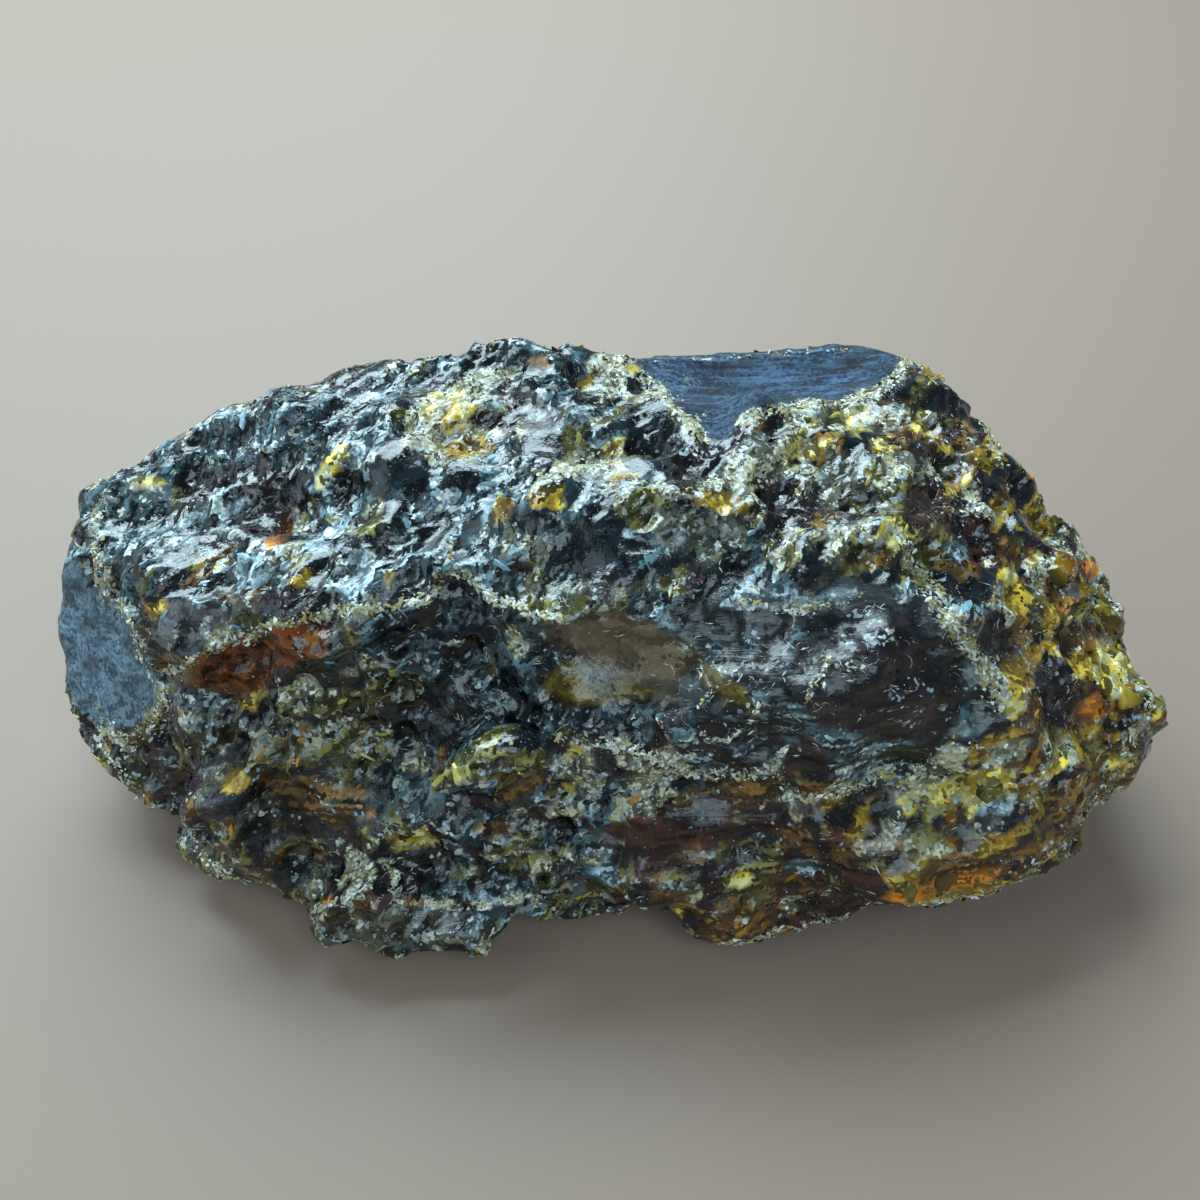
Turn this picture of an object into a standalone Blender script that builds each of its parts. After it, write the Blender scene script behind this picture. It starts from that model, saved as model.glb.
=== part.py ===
"""Raw amber: one loose lump of dark fossil resin, broken on most of its sides.

Metres, +Z up. X runs along the lump, Y from its front face to its back. The lump stands on
the flat spot under it, at Z = 0, with the middle of its length and depth at X = Y = 0.
Sizes in the tables and constants below are in millimetres and are scaled by MM.
"""

from typing import NamedTuple

import bmesh
import bpy
import numpy as np

MM = 0.001

# Driving sizes, in millimetres where they are lengths.
FORM_VOXEL = 0.95
SOFT_LEVELS = 3
TRIANGLE_BUDGET = 9400
GROUND_SIDE = 240.0
GROUND_DEPTH = 40.0
CALM_EDGE = 0.35
DOME_REACH = 3.0
GRANULE_RISE = 0.42
LATTICE = (60, 60, 40)

# The look of the plain solid.
RESIN_COLOUR = (0.075, 0.05, 0.03, 1.0)
RESIN_ROUGHNESS = 0.25

# Cross-sections of the lump from its left tip to its right tip. Each is the place along X and
# twelve points (Y, Z), from the front foot up the front face, over the brow and the top, down
# the back and under the lump.
SECTIONS = [
    (-76, [(-5, 19), (-7, 22), (-7, 25), (-6, 28), (-3, 29), (0, 30), (3, 29), (6, 28),
           (8, 25), (8, 21), (6, 18), (2, 17)]),
    (-67, [(-17, 9), (-19, 14), (-20, 19), (-17, 26), (-11, 32), (-2, 35), (8, 37), (17, 39),
           (24, 34), (25, 21), (19, 8), (2, 5)]),
    (-55, [(-27, 3), (-28, 10), (-26, 18), (-20, 26), (-12, 33), (-3, 38), (10, 41), (24, 44),
           (32, 37), (32, 22), (24, 6), (2, 1)]),
    (-42, [(-36, 1), (-35, 10), (-31, 19), (-22, 30), (-12, 38), (-2, 42), (11, 44), (26, 48),
           (34, 40), (35, 22), (27, 5), (0, 0)]),
    (-28, [(-39, 1), (-39, 9), (-34, 20), (-25, 33), (-16, 43), (-4, 45), (14, 47), (32, 51),
           (38, 40), (38, 22), (28, 4), (0, -1.4)]),
    (-14, [(-39, 0), (-39, 9), (-33, 20), (-24, 34), (-16, 45), (-4, 48), (14, 49), (32, 51),
           (39, 41), (40, 22), (29, 3), (0, -2)]),
    (0, [(-38, 3), (-39, 12), (-33, 22), (-25, 35), (-19, 45), (-6, 49), (14, 50), (34, 51),
         (40, 39), (40, 22), (29, 3), (0, -2.4)]),
    (14, [(-37, 0), (-38, 9), (-33, 21), (-26, 34), (-18, 46), (-5, 49), (15, 50), (35, 48),
          (41, 38), (40, 21), (29, 3), (0, -2)]),
    (28, [(-37, 1), (-37, 10), (-33, 20), (-27, 32), (-17, 45), (-4, 49), (16, 50), (36, 49),
          (42, 38), (40, 21), (28, 4), (0, -1)]),
    (42, [(-35, 4), (-36, 11), (-33, 19), (-28, 29), (-18, 40), (-4, 45), (18, 47), (38.5, 50),
          (43, 37), (39, 20), (27, 5), (0, 0.5)]),
    (55, [(-33, 5), (-34, 12), (-31, 18), (-25, 25), (-17, 33), (-4, 38), (14, 42), (30, 44.5),
          (34, 33), (33, 19), (22, 6), (0, 2)]),
    (66, [(-24, 9), (-26, 13), (-25, 17), (-20, 21), (-14, 25), (-5, 28.5), (5, 29.5), (12, 28.5),
          (18, 23), (19, 16), (13, 8), (-2, 4)]),
    (74, [(-15, 15), (-16, 17), (-16, 19), (-13, 21), (-9, 22.5), (-4, 23.5), (0, 23), (3, 22),
          (5, 19), (4, 16), (0, 13), (-7, 12)]),
]


class Flat(NamedTuple):
    """A plane that the lump broke along: a point on it and the way it faces."""

    point: tuple
    facing: tuple


class Dish(NamedTuple):
    """A shallow bowl, or a low dome where depth is negative.

    Its middle, the way it faces, half its length and width, its depth below the middle, and
    the direction of its length.
    """

    middle: tuple
    facing: tuple
    half_size: tuple
    depth: float
    along: tuple = (1.0, 0.0, 0.0)


class Crest(NamedTuple):
    """A sharp ridge line, or a groove where height is negative."""

    line: tuple
    width: float
    height: float


class Calm(NamedTuple):
    """A smooth area that the rough fracture leaves out."""

    middle: tuple
    half_size: tuple


FLATS = {
    "left skin": Flat((-65.0, -7.3, 24.5), (-0.53, -0.72, 0.45)),
    "window face": Flat((-42.0, -16.5, 31.0), (-0.20, -0.84, 0.50)),
}

BOWLS = {
    "skin channel": Dish((22.0, 29.0, 46.7), (-0.03, -0.12, 1.0), (24.0, 8.5), 3.3),
    "channel lobe": Dish((15.0, 12.0, 50.6), (0.0, -0.1, 1.0), (5.0, 9.0), 2.6),
    "central hollow": Dish((1.2, -23.1, 38.7), (0.0, -0.83, 0.56), (11.0, 7.0), 3.2),
    "dark valley": Dish((13.0, -12.0, 48.0), (0.0, -0.42, 0.91), (15.0, 6.5), 3.6),
    "teal pit": Dish((-23.5, -31.2, 24.3), (0.0, -0.82, 0.58), (5.0, 6.5), 4.5),
    "underside notch": Dish((-2.0, -38.5, 7.0), (0.0, -0.80, -0.60), (11.0, 9.0), 7.0),
    "golden pit": Dish((-17.6, 11.6, 50.1), (0.0, -0.13, 0.98), (7.5, 8.0), 3.2),
    "pale window": Dish((-1.3, 4.4, 50.4), (0.0, -0.15, 0.98), (5.5, 6.5), 2.2),
    "red window": Dish((40.2, -2.8, 46.4), (0.35, -0.25, 0.90), (6.0, 5.0), 2.2),
    "right pit": Dish((53.0, -14.5, 35.0), (0.49, -0.48, 0.73), (6.0, 9.0), 2.8),
    "left foot hollow": Dish((-33.0, -37.5, 14.0), (-0.2, -0.85, 0.45), (5.0, 5.0), 2.4),
    "right end hollow": Dish((68.0, -19.5, 14.0), (0.6, -0.7, 0.1), (6.0, 5.0), 1.2),
    "back hollow": Dish((-18.0, 38.5, 26.0), (0.0, 1.0, 0.1), (16.0, 11.0), 2.6),
    "back right hollow": Dish((34.0, 40.0, 20.0), (0.1, 1.0, -0.2), (12.0, 9.0), 2.2),
    "back left hollow": Dish((-52.0, 29.5, 30.0), (-0.5, 0.8, 0.2), (10.0, 9.0), 2.2),
}

DOMES = {
    "front bulge": Dish((28.0, -25.5, 34.0), (0.1, -0.83, 0.55), (21.0, 10.0), -2.2),
    "oval lump": Dish((-12.9, -28.8, 28.4), (0.0, -0.83, 0.55), (6.5, 4.5), -2.4),
    "brown lump": Dish((-42.1, -30.2, 19.1), (-0.32, -0.80, 0.51), (11.0, 7.0), -1.8),
    "left toe": Dish((-22.5, -37.5, 7.5), (0.0, -0.92, 0.30), (13.5, 6.0), -1.8),
    "right toe": Dish((13.5, -36.6, 6.0), (0.0, -0.97, 0.10), (11.0, 6.0), -2.3, (1.0, 0.0, 0.14)),
    "black knob": Dish((-25.8, 4.8, 47.7), (-0.2, -0.2, 0.96), (5.0, 5.5), -2.0),
    "lower lip": Dish((39.0, -35.5, 12.0), (0.0, -0.9, 0.4), (9.0, 4.0), -1.8),
    "left block": Dish((-50.0, -7.0, 37.0), (-0.25, -0.45, 0.86), (13.0, 9.0), -1.6),
}

CRESTS = {
    "brow": Crest(((-54, -17, 28), (-45, -14, 35), (-30, -15.5, 40), (-23, -16.5, 42),
                   (-18, -13, 45), (-12, -17.5, 43), (-4.5, -19.5, 42.5)), 3.2, 1.8),
    "glint ledge": Crest(((15, -18, 44), (24, -18.5, 43), (33, -15, 44)), 3.0, 1.8),
    "crust band": Crest(((35, -7, 47), (38.5, -13.5, 43), (42.5, -17.5, 39), (48, -22, 32)),
                        3.4, 1.8),
    "channel rim": Crest(((4, 24, 50), (8, 16, 50), (12, 9, 50), (18, 10, 50), (24, 18, 49),
                          (34, 20, 49), (43, 27, 49)), 2.6, 1.3),
    "shelf line": Crest(((-61, 10.5, 42), (-46, 6, 43.5), (-38, 1, 44), (-33, -8, 43)),
                        2.6, -1.8),
    "undercut": Crest(((0, -31.5, 25), (15, -30.5, 25), (30, -31, 24), (44, -30.5, 23),
                       (57, -27, 21)), 2.8, -2.2),
    "front cleft": Crest(((1.5, -34.5, 20), (2.2, -38, 13), (4.0, -38.5, 7)), 2.6, -2.2),
    "left groove": Crest(((-57, -20, 19), (-46, -25, 22), (-33, -28, 25), (-26, -29, 27)),
                         2.6, -1.6),
}

# Rounded grains of golden resin along the right margin: the middle and the radius of each.
GRANULES = [
    ((50.0, 24.0, 43.0), 2.8), ((55.0, 18.0, 40.0), 3.0), ((60.0, 14.0, 35.5), 2.8),
    ((64.5, 10.0, 31.0), 3.4), ((68.5, 5.0, 27.5), 3.4), ((71.5, 0.5, 24.5), 3.0),
    ((70.0, -7.0, 23.5), 2.8), ((73.0, -8.0, 19.5), 2.4), ((71.0, -13.0, 15.5), 2.8),
    ((66.5, -18.0, 12.0), 2.8), ((62.0, -4.0, 32.5), 3.0), ((58.0, 7.0, 37.5), 2.8),
    ((64.0, -15.0, 25.0), 3.0), ((58.0, -25.5, 20.5), 3.2), ((50.0, -30.0, 20.0), 3.4),
]

CALM_AREAS = {
    "left skin": Calm((-64.0, -6.5, 24.0), (8.0, 12.0, 14.0)),
    "skin channel": Calm((25.0, 29.0, 46.0), (24.0, 8.0, 5.0)),
    "channel lobe": Calm((15.0, 12.5, 48.5), (4.5, 7.0, 4.0)),
    "central hollow": Calm((1.2, -22.0, 38.0), (10.0, 5.0, 6.0)),
    "black knob": Calm((-25.8, 4.8, 48.0), (4.5, 5.0, 4.0)),
    "flat spot": Calm((-2.0, -3.0, -2.0), (34.0, 24.0, 4.5)),
}


class Fracture(NamedTuple):
    """One scale of the shell-shaped breaks: spacing, depth, slope, long way and seed."""

    spacing: float
    depth: float
    slope: float
    stretch: tuple
    seed: int


FRACTURES = [
    Fracture(13.0, 1.3, 0.08, (0.75, 1.0, 1.0), 11),
    Fracture(6.0, 0.9, 0.16, (0.70, 1.0, 1.0), 23),
]


def clear_scene():
    """Remove every object that the file opened with."""
    for item in list(bpy.data.objects):
        bpy.data.objects.remove(item, do_unlink=True)


def new_collection(name):
    """Make a collection in the scene."""
    group = bpy.data.collections.new(name)
    bpy.context.scene.collection.children.link(group)
    return group


def lofted_cage(name, group):
    """Make the coarse closed cage whose rings are the cross-sections."""
    cage = bmesh.new()
    rings = []
    for place, points in SECTIONS:
        rings.append([cage.verts.new((place * MM, y * MM, z * MM)) for y, z in points])
    for ring, following in zip(rings, rings[1:]):
        count = len(ring)
        for k in range(count):
            after = (k + 1) % count
            cage.faces.new((ring[k], ring[after], following[after], following[k]))
    cage.faces.new(rings[0])
    cage.faces.new(rings[-1])
    bmesh.ops.recalc_face_normals(cage, faces=cage.faces)
    mesh = bpy.data.meshes.new(name)
    cage.to_mesh(mesh)
    cage.free()
    lump = bpy.data.objects.new(name, mesh)
    group.objects.link(lump)
    return lump


def settle_modifiers(thing):
    """Make the evaluated form the object's own mesh and drop its modifiers."""
    bpy.context.view_layer.update()
    graph = bpy.context.evaluated_depsgraph_get()
    rough = thing.data
    thing.data = bpy.data.meshes.new_from_object(thing.evaluated_get(graph))
    thing.data.name = thing.name
    thing.modifiers.clear()
    bpy.data.meshes.remove(rough)


def points_of(mesh):
    """Give the mesh's points in millimetres, one row each."""
    flat = np.empty(len(mesh.vertices) * 3, dtype=np.float32)
    mesh.vertices.foreach_get("co", flat)
    return flat.reshape(-1, 3).astype(np.float64) / MM


def normals_of(mesh):
    """Give the outward direction at each point."""
    flat = np.empty(len(mesh.vertices) * 3, dtype=np.float32)
    mesh.vertex_normals.foreach_get("vector", flat)
    return flat.reshape(-1, 3).astype(np.float64)


def move_points(mesh, points):
    """Put the mesh's points at these places, in millimetres."""
    mesh.vertices.foreach_set("co", (points * MM).astype(np.float32).ravel())
    mesh.update()


def unit(direction):
    """Give the direction at a length of one."""
    direction = np.asarray(direction, dtype=np.float64)
    return direction / np.linalg.norm(direction)


def trim_flat(points, flat):
    """Press the points that stand above a plane down onto it."""
    facing = unit(flat.facing)
    above = (points - np.array(flat.point)) @ facing
    return points - np.maximum(above, 0.0)[:, None] * facing


def press_dish(points, dish):
    """Hollow out a bowl, or raise a dome, along the way that the dish faces."""
    facing = unit(dish.facing)
    along = unit(np.array(dish.along) - np.dot(dish.along, facing) * facing)
    across = np.cross(facing, along)
    offset = points - np.array(dish.middle)
    height = offset @ facing
    spread = (offset @ along / dish.half_size[0]) ** 2 + (offset @ across / dish.half_size[1]) ** 2
    surface = -dish.depth * (1.0 - spread)
    if dish.depth > 0.0:
        moved = np.minimum(height, surface)
    else:
        near = (spread < 1.0) & (height > DOME_REACH * dish.depth)
        moved = np.where(near, np.maximum(height, surface), height)
    return points + (moved - height)[:, None] * facing


def distance_to_line(points, line):
    """Give each point's distance to a line of straight stretches."""
    nearest = np.full(len(points), np.inf)
    corners = np.array(line, dtype=np.float64)
    for start, end in zip(corners, corners[1:]):
        stretch = end - start
        share = np.clip((points - start) @ stretch / (stretch @ stretch), 0.0, 1.0)
        gap = np.linalg.norm(points - start - share[:, None] * stretch, axis=1)
        nearest = np.minimum(nearest, gap)
    return nearest


def raise_crest(points, normals, crest):
    """Raise a sharp ridge, or sink a groove, along its line."""
    rise = np.clip(1.0 - distance_to_line(points, crest.line) / crest.width, 0.0, 1.0)
    return points + (crest.height * rise)[:, None] * normals


def swell_granules(points, normals):
    """Round the skin out over each grain, most of all above its middle."""
    rise = np.zeros(len(points))
    for middle, radius in GRANULES:
        gap = np.linalg.norm(points - np.array(middle), axis=1) / (1.5 * radius)
        rise = np.maximum(rise, GRANULE_RISE * radius * np.sqrt(np.clip(1.0 - gap ** 2, 0.0, 1.0)))
    return points + rise[:, None] * normals


def roughness_of(points):
    """Give 1 where the fracture is rough, down to 0 on the smooth areas."""
    rough = np.ones(len(points))
    for area in CALM_AREAS.values():
        reach = np.linalg.norm((points - np.array(area.middle)) / np.array(area.half_size), axis=1)
        rough = np.minimum(rough, np.clip((reach - 1.0) / CALM_EDGE, 0.0, 1.0))
    return rough


def fracture_height(points, fracture):
    """Give the height of overlapping shell-shaped breaks, each with its own slope.

    Space is a lattice with one seed in each cell, and every seed owns a bowl. The surface is
    the lowest bowl at each point, so bowls meet in sharp ridges.
    """
    draws = np.random.default_rng(fracture.seed)
    spots = points * np.array(fracture.stretch) / fracture.spacing
    corner = np.floor(spots).astype(int)
    jitter = draws.random(LATTICE + (3,))
    offsets = draws.uniform(-0.5, 0.5, LATTICE) * fracture.depth
    slopes = draws.normal(0.0, fracture.slope, LATTICE + (3,))
    curve = 4.0 * fracture.depth / fracture.spacing ** 2
    lowest = np.full(len(points), np.inf)
    for reach in np.ndindex(3, 3, 3):
        cell = corner + np.array(reach) - 1
        key = tuple((cell + np.array(LATTICE) // 2).T)
        step = (spots - cell - jitter[key]) * fracture.spacing
        bowl = offsets[key] + (step * slopes[key]).sum(axis=1) + curve * (step ** 2).sum(axis=1)
        lowest = np.minimum(lowest, bowl)
    return lowest - lowest.mean()


def carve(mesh):
    """Give the soft form its flats, bowls, domes, crests and fracture."""
    points = points_of(mesh)
    for flat in FLATS.values():
        points = trim_flat(points, flat)
    for dish in list(DOMES.values()) + list(BOWLS.values()):
        points = press_dish(points, dish)
    move_points(mesh, points)
    for crest in CRESTS.values():
        points = raise_crest(points, normals_of(mesh), crest)
        move_points(mesh, points)
    rough = roughness_of(points)
    points = swell_granules(points, normals_of(mesh))
    move_points(mesh, points)
    normals = normals_of(mesh)
    height = sum(fracture_height(points, step) for step in FRACTURES)
    move_points(mesh, points + (rough * height)[:, None] * normals)


def remesh_even(thing, size):
    """Rebuild the skin with even faces of one size."""
    even = thing.modifiers.new("even skin", "REMESH")
    even.mode = "VOXEL"
    even.voxel_size = size * MM
    settle_modifiers(thing)


def centre_over_origin(thing):
    """Slide the lump so that the middle of its length and depth is over the origin."""
    points = points_of(thing.data)
    middle = (points.min(axis=0) + points.max(axis=0)) / 2.0
    middle[2] = 0.0
    move_points(thing.data, points - middle)


def ground_block(group):
    """Make the block that cuts the flat spot under the lump."""
    bpy.ops.mesh.primitive_cube_add(size=1.0, location=(0.0, 0.0, -GROUND_DEPTH * MM / 2.0))
    block = bpy.context.active_object
    block.name = "ground_block"
    block.scale = (GROUND_SIDE * MM, GROUND_SIDE * MM, GROUND_DEPTH * MM)
    bpy.ops.object.transform_apply(location=False, rotation=False, scale=True)
    for owner in list(block.users_collection):
        owner.objects.unlink(block)
    group.objects.link(block)
    block.display_type = "WIRE"
    block.hide_render = True
    return block


def amber_material():
    """Make the dark brown, glossy resin."""
    resin = bpy.data.materials.new("dark amber")
    resin.use_nodes = True
    shader = resin.node_tree.nodes["Principled BSDF"]
    shader.inputs["Base Color"].default_value = RESIN_COLOUR
    shader.inputs["Roughness"].default_value = RESIN_ROUGHNESS
    shader.inputs["Metallic"].default_value = 0.0
    return resin


def main():
    """Build the lump in its collection, and the block that cuts its flat spot in another."""
    clear_scene()
    parts = new_collection("raw_amber")
    cutters = new_collection("cutters")
    lump = lofted_cage("amber_lump", parts)
    soften = lump.modifiers.new("soft form", "SUBSURF")
    soften.levels = SOFT_LEVELS
    soften.render_levels = SOFT_LEVELS
    remesh_even(lump, FORM_VOXEL)
    carve(lump.data)
    remesh_even(lump, FORM_VOXEL)
    thin = lump.modifiers.new("fewer faces", "DECIMATE")
    thin.ratio = TRIANGLE_BUDGET / sum(len(face.vertices) - 2 for face in lump.data.polygons)
    rest = lump.modifiers.new("flat spot", "BOOLEAN")
    rest.operation = "DIFFERENCE"
    rest.solver = "EXACT"
    rest.object = ground_block(cutters)
    settle_modifiers(lump)
    centre_over_origin(lump)
    lump.data.materials.append(amber_material())


main()
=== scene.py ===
"""Raw amber: the look of one loose lump of dark fossil resin, dressed around its solid.

Metres, +Z up, in the frame of the solid. The solid gives the lump its form and its size. The
fine skin, its coloured windows and crusts, and the loose crumbs, flakes and grains are made
here. Places named by a pixel are pixels of the photograph, which is 1200 pixels wide and high.
"""

import logging
import math
from dataclasses import dataclass, field
from enum import Enum
from typing import ClassVar

import bmesh
import bpy
import numpy as np
from mathutils import Matrix, Vector
from mathutils.bvhtree import BVHTree


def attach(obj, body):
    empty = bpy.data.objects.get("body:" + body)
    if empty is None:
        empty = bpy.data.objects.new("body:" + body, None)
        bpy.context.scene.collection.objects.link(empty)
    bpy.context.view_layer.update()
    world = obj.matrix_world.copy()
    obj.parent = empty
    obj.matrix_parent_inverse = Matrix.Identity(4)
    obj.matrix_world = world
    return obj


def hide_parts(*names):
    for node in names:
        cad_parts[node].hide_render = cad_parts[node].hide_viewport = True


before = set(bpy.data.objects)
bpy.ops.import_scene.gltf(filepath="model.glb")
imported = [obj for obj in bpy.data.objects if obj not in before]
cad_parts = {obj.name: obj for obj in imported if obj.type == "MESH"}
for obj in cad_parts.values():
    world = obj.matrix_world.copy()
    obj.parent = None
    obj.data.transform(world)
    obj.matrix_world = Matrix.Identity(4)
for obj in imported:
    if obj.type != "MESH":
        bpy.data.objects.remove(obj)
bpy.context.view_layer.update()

MM = 0.001
SOLID = "amber_lump"
LOG = logging.getLogger("raw_amber")

# Millimetres: what lies lower than this is the foot, which keeps its place.
FOOT_HEIGHT = 0.3
# Pixels: a crust line thinner than this is drawn by its veins alone.
THIN_LINE = 3.0
# Degrees, shares of a length and of a radius, for the small pieces.
PIECE_SHARP = 32.0
LONG_WAY_SWAY = 0.35
FLOOR_CLEAR = 1.4

Triple = tuple[float, float, float]
Colour = Triple
Place = tuple[float, float]
Path = list[tuple[np.ndarray, np.ndarray]]
Socket = bpy.types.NodeSocket


class Look(Enum):
    """The kinds of resin, crust and skin that a patch of the lump can show."""

    YELLOW = "bright yellow window"
    GOLD = "golden window"
    ORANGE = "orange glow"
    STRAW = "dim golden resin"
    HONEY = "brown gold resin"
    RUST = "red brown window"
    GARNET = "dark red resin"
    OLIVE = "olive resin"
    BROWN = "smooth brown resin"
    CREAM = "cream crumble"
    # Pale crazed resin, with sky glints painted into its colour.
    FROST_AND_GLINT = "pale blue broken resin"
    # Teal black resin, with a painted sky sheen in its lighter tone.
    TEAL = "teal black resin"
    INK = "smooth black resin"
    PLUM = "plum black resin"
    GREY = "grey matt resin"
    TAN = "tan chip"
    HAZE = "hazy grey resin"
    SLATE = "grey skin of the left end"
    INDIGO = "blue grey skin of the channel"


(YELLOW, GOLD, ORANGE, STRAW, HONEY, RUST, GARNET, OLIVE, BROWN, CREAM, FROST_AND_GLINT, TEAL,
 INK, PLUM, GREY, TAN, HAZE, SLATE, INDIGO) = Look


@dataclass(frozen=True)
class Tone:
    """What one look is made of.

    Two colours that it drifts between, the share of light it lets through, its roughness, the
    tilt of its small facets, its share of white dust and its share of pale fragments.
    """

    first: Colour
    second: Colour
    clear: float
    rough: float
    tilt: float
    dust: float
    pale: float


TONES = {
    YELLOW: Tone((0.92, 0.62, 0.03), (1.00, 0.90, 0.36), 0.12, 0.14, 0.50, 0.12, 0.18),
    GOLD: Tone((0.40, 0.20, 0.010), (0.86, 0.56, 0.05), 0.28, 0.14, 0.46, 0.10, 0.02),
    ORANGE: Tone((1.00, 0.33, 0.01), (0.72, 0.17, 0.008), 0.20, 0.16, 0.20, 0.05, -0.1),
    STRAW: Tone((0.09, 0.058, 0.007), (0.26, 0.172, 0.016), 0.35, 0.12, 0.12, 0.08, -0.1),
    HONEY: Tone((0.11, 0.044, 0.008), (0.42, 0.20, 0.03), 0.36, 0.13, 0.50, 0.18, 0.05),
    RUST: Tone((0.33, 0.075, 0.006), (0.080, 0.016, 0.003), 0.35, 0.10, 0.05, 0.12, -0.3),
    GARNET: Tone((0.022, 0.009, 0.007), (0.105, 0.027, 0.012), 0.36, 0.14, 0.42, 0.18, -0.05),
    OLIVE: Tone((0.075, 0.069, 0.015), (0.34, 0.29, 0.070), 0.36, 0.13, 0.54, 0.18, 0.18),
    BROWN: Tone((0.20, 0.135, 0.072), (0.26, 0.185, 0.105), 0.25, 0.10, 0.03, 0.06, -0.3),
    CREAM: Tone((0.50, 0.47, 0.30), (0.11, 0.095, 0.050), 0.06, 0.40, 0.56, 0.20, 0.30),
    # The pale blue look's light tone and its many pale fragments are partly crazing and partly painted
    # sky glints.
    FROST_AND_GLINT: Tone((0.040, 0.085, 0.105), (0.48, 0.68, 0.77), 0.12, 0.09, 0.56, 0.14, 0.52),
    # The teal black look's lighter tone is partly a painted sky sheen on the facets.
    TEAL: Tone((0.012, 0.034, 0.044), (0.105, 0.200, 0.240), 0.26, 0.10, 0.52, 0.16, 0.14),
    INK: Tone((0.002, 0.004, 0.006), (0.011, 0.023, 0.033), 0.26, 0.10, 0.12, 0.20, -0.12),
    PLUM: Tone((0.036, 0.018, 0.023), (0.009, 0.006, 0.009), 0.24, 0.14, 0.46, 0.20, 0.04),
    GREY: Tone((0.15, 0.15, 0.170), (0.26, 0.26, 0.25), 0.06, 0.34, 0.42, 0.16, 0.22),
    TAN: Tone((0.52, 0.27, 0.11), (0.38, 0.20, 0.09), 0.20, 0.28, 0.15, 0.08, 0.08),
    HAZE: Tone((0.065, 0.075, 0.058), (0.22, 0.22, 0.15), 0.28, 0.12, 0.36, 0.14, 0.18),
    SLATE: Tone((0.036, 0.074, 0.112), (0.185, 0.285, 0.355), 0.0, 0.58, 0.0, 0.06, 0.0),
    INDIGO: Tone((0.002, 0.009, 0.025), (0.040, 0.090, 0.155), 0.0, 0.80, 0.0, 0.04, 0.0),
}
TONE_SHARES = ("clear", "rough", "tilt", "dust", "pale")
SMOOTH_LOOKS = (BROWN, RUST, ORANGE, STRAW)


@dataclass(frozen=True)
class Patch:
    """An area of one look: its middle and half sizes in pixels, and its turn in degrees."""

    look: Look
    u: float
    v: float
    wide: float
    high: float
    turn: float = 0.0


# The pale blue patches lie where the broken resin shows pale crazing with painted sky glints.
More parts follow.
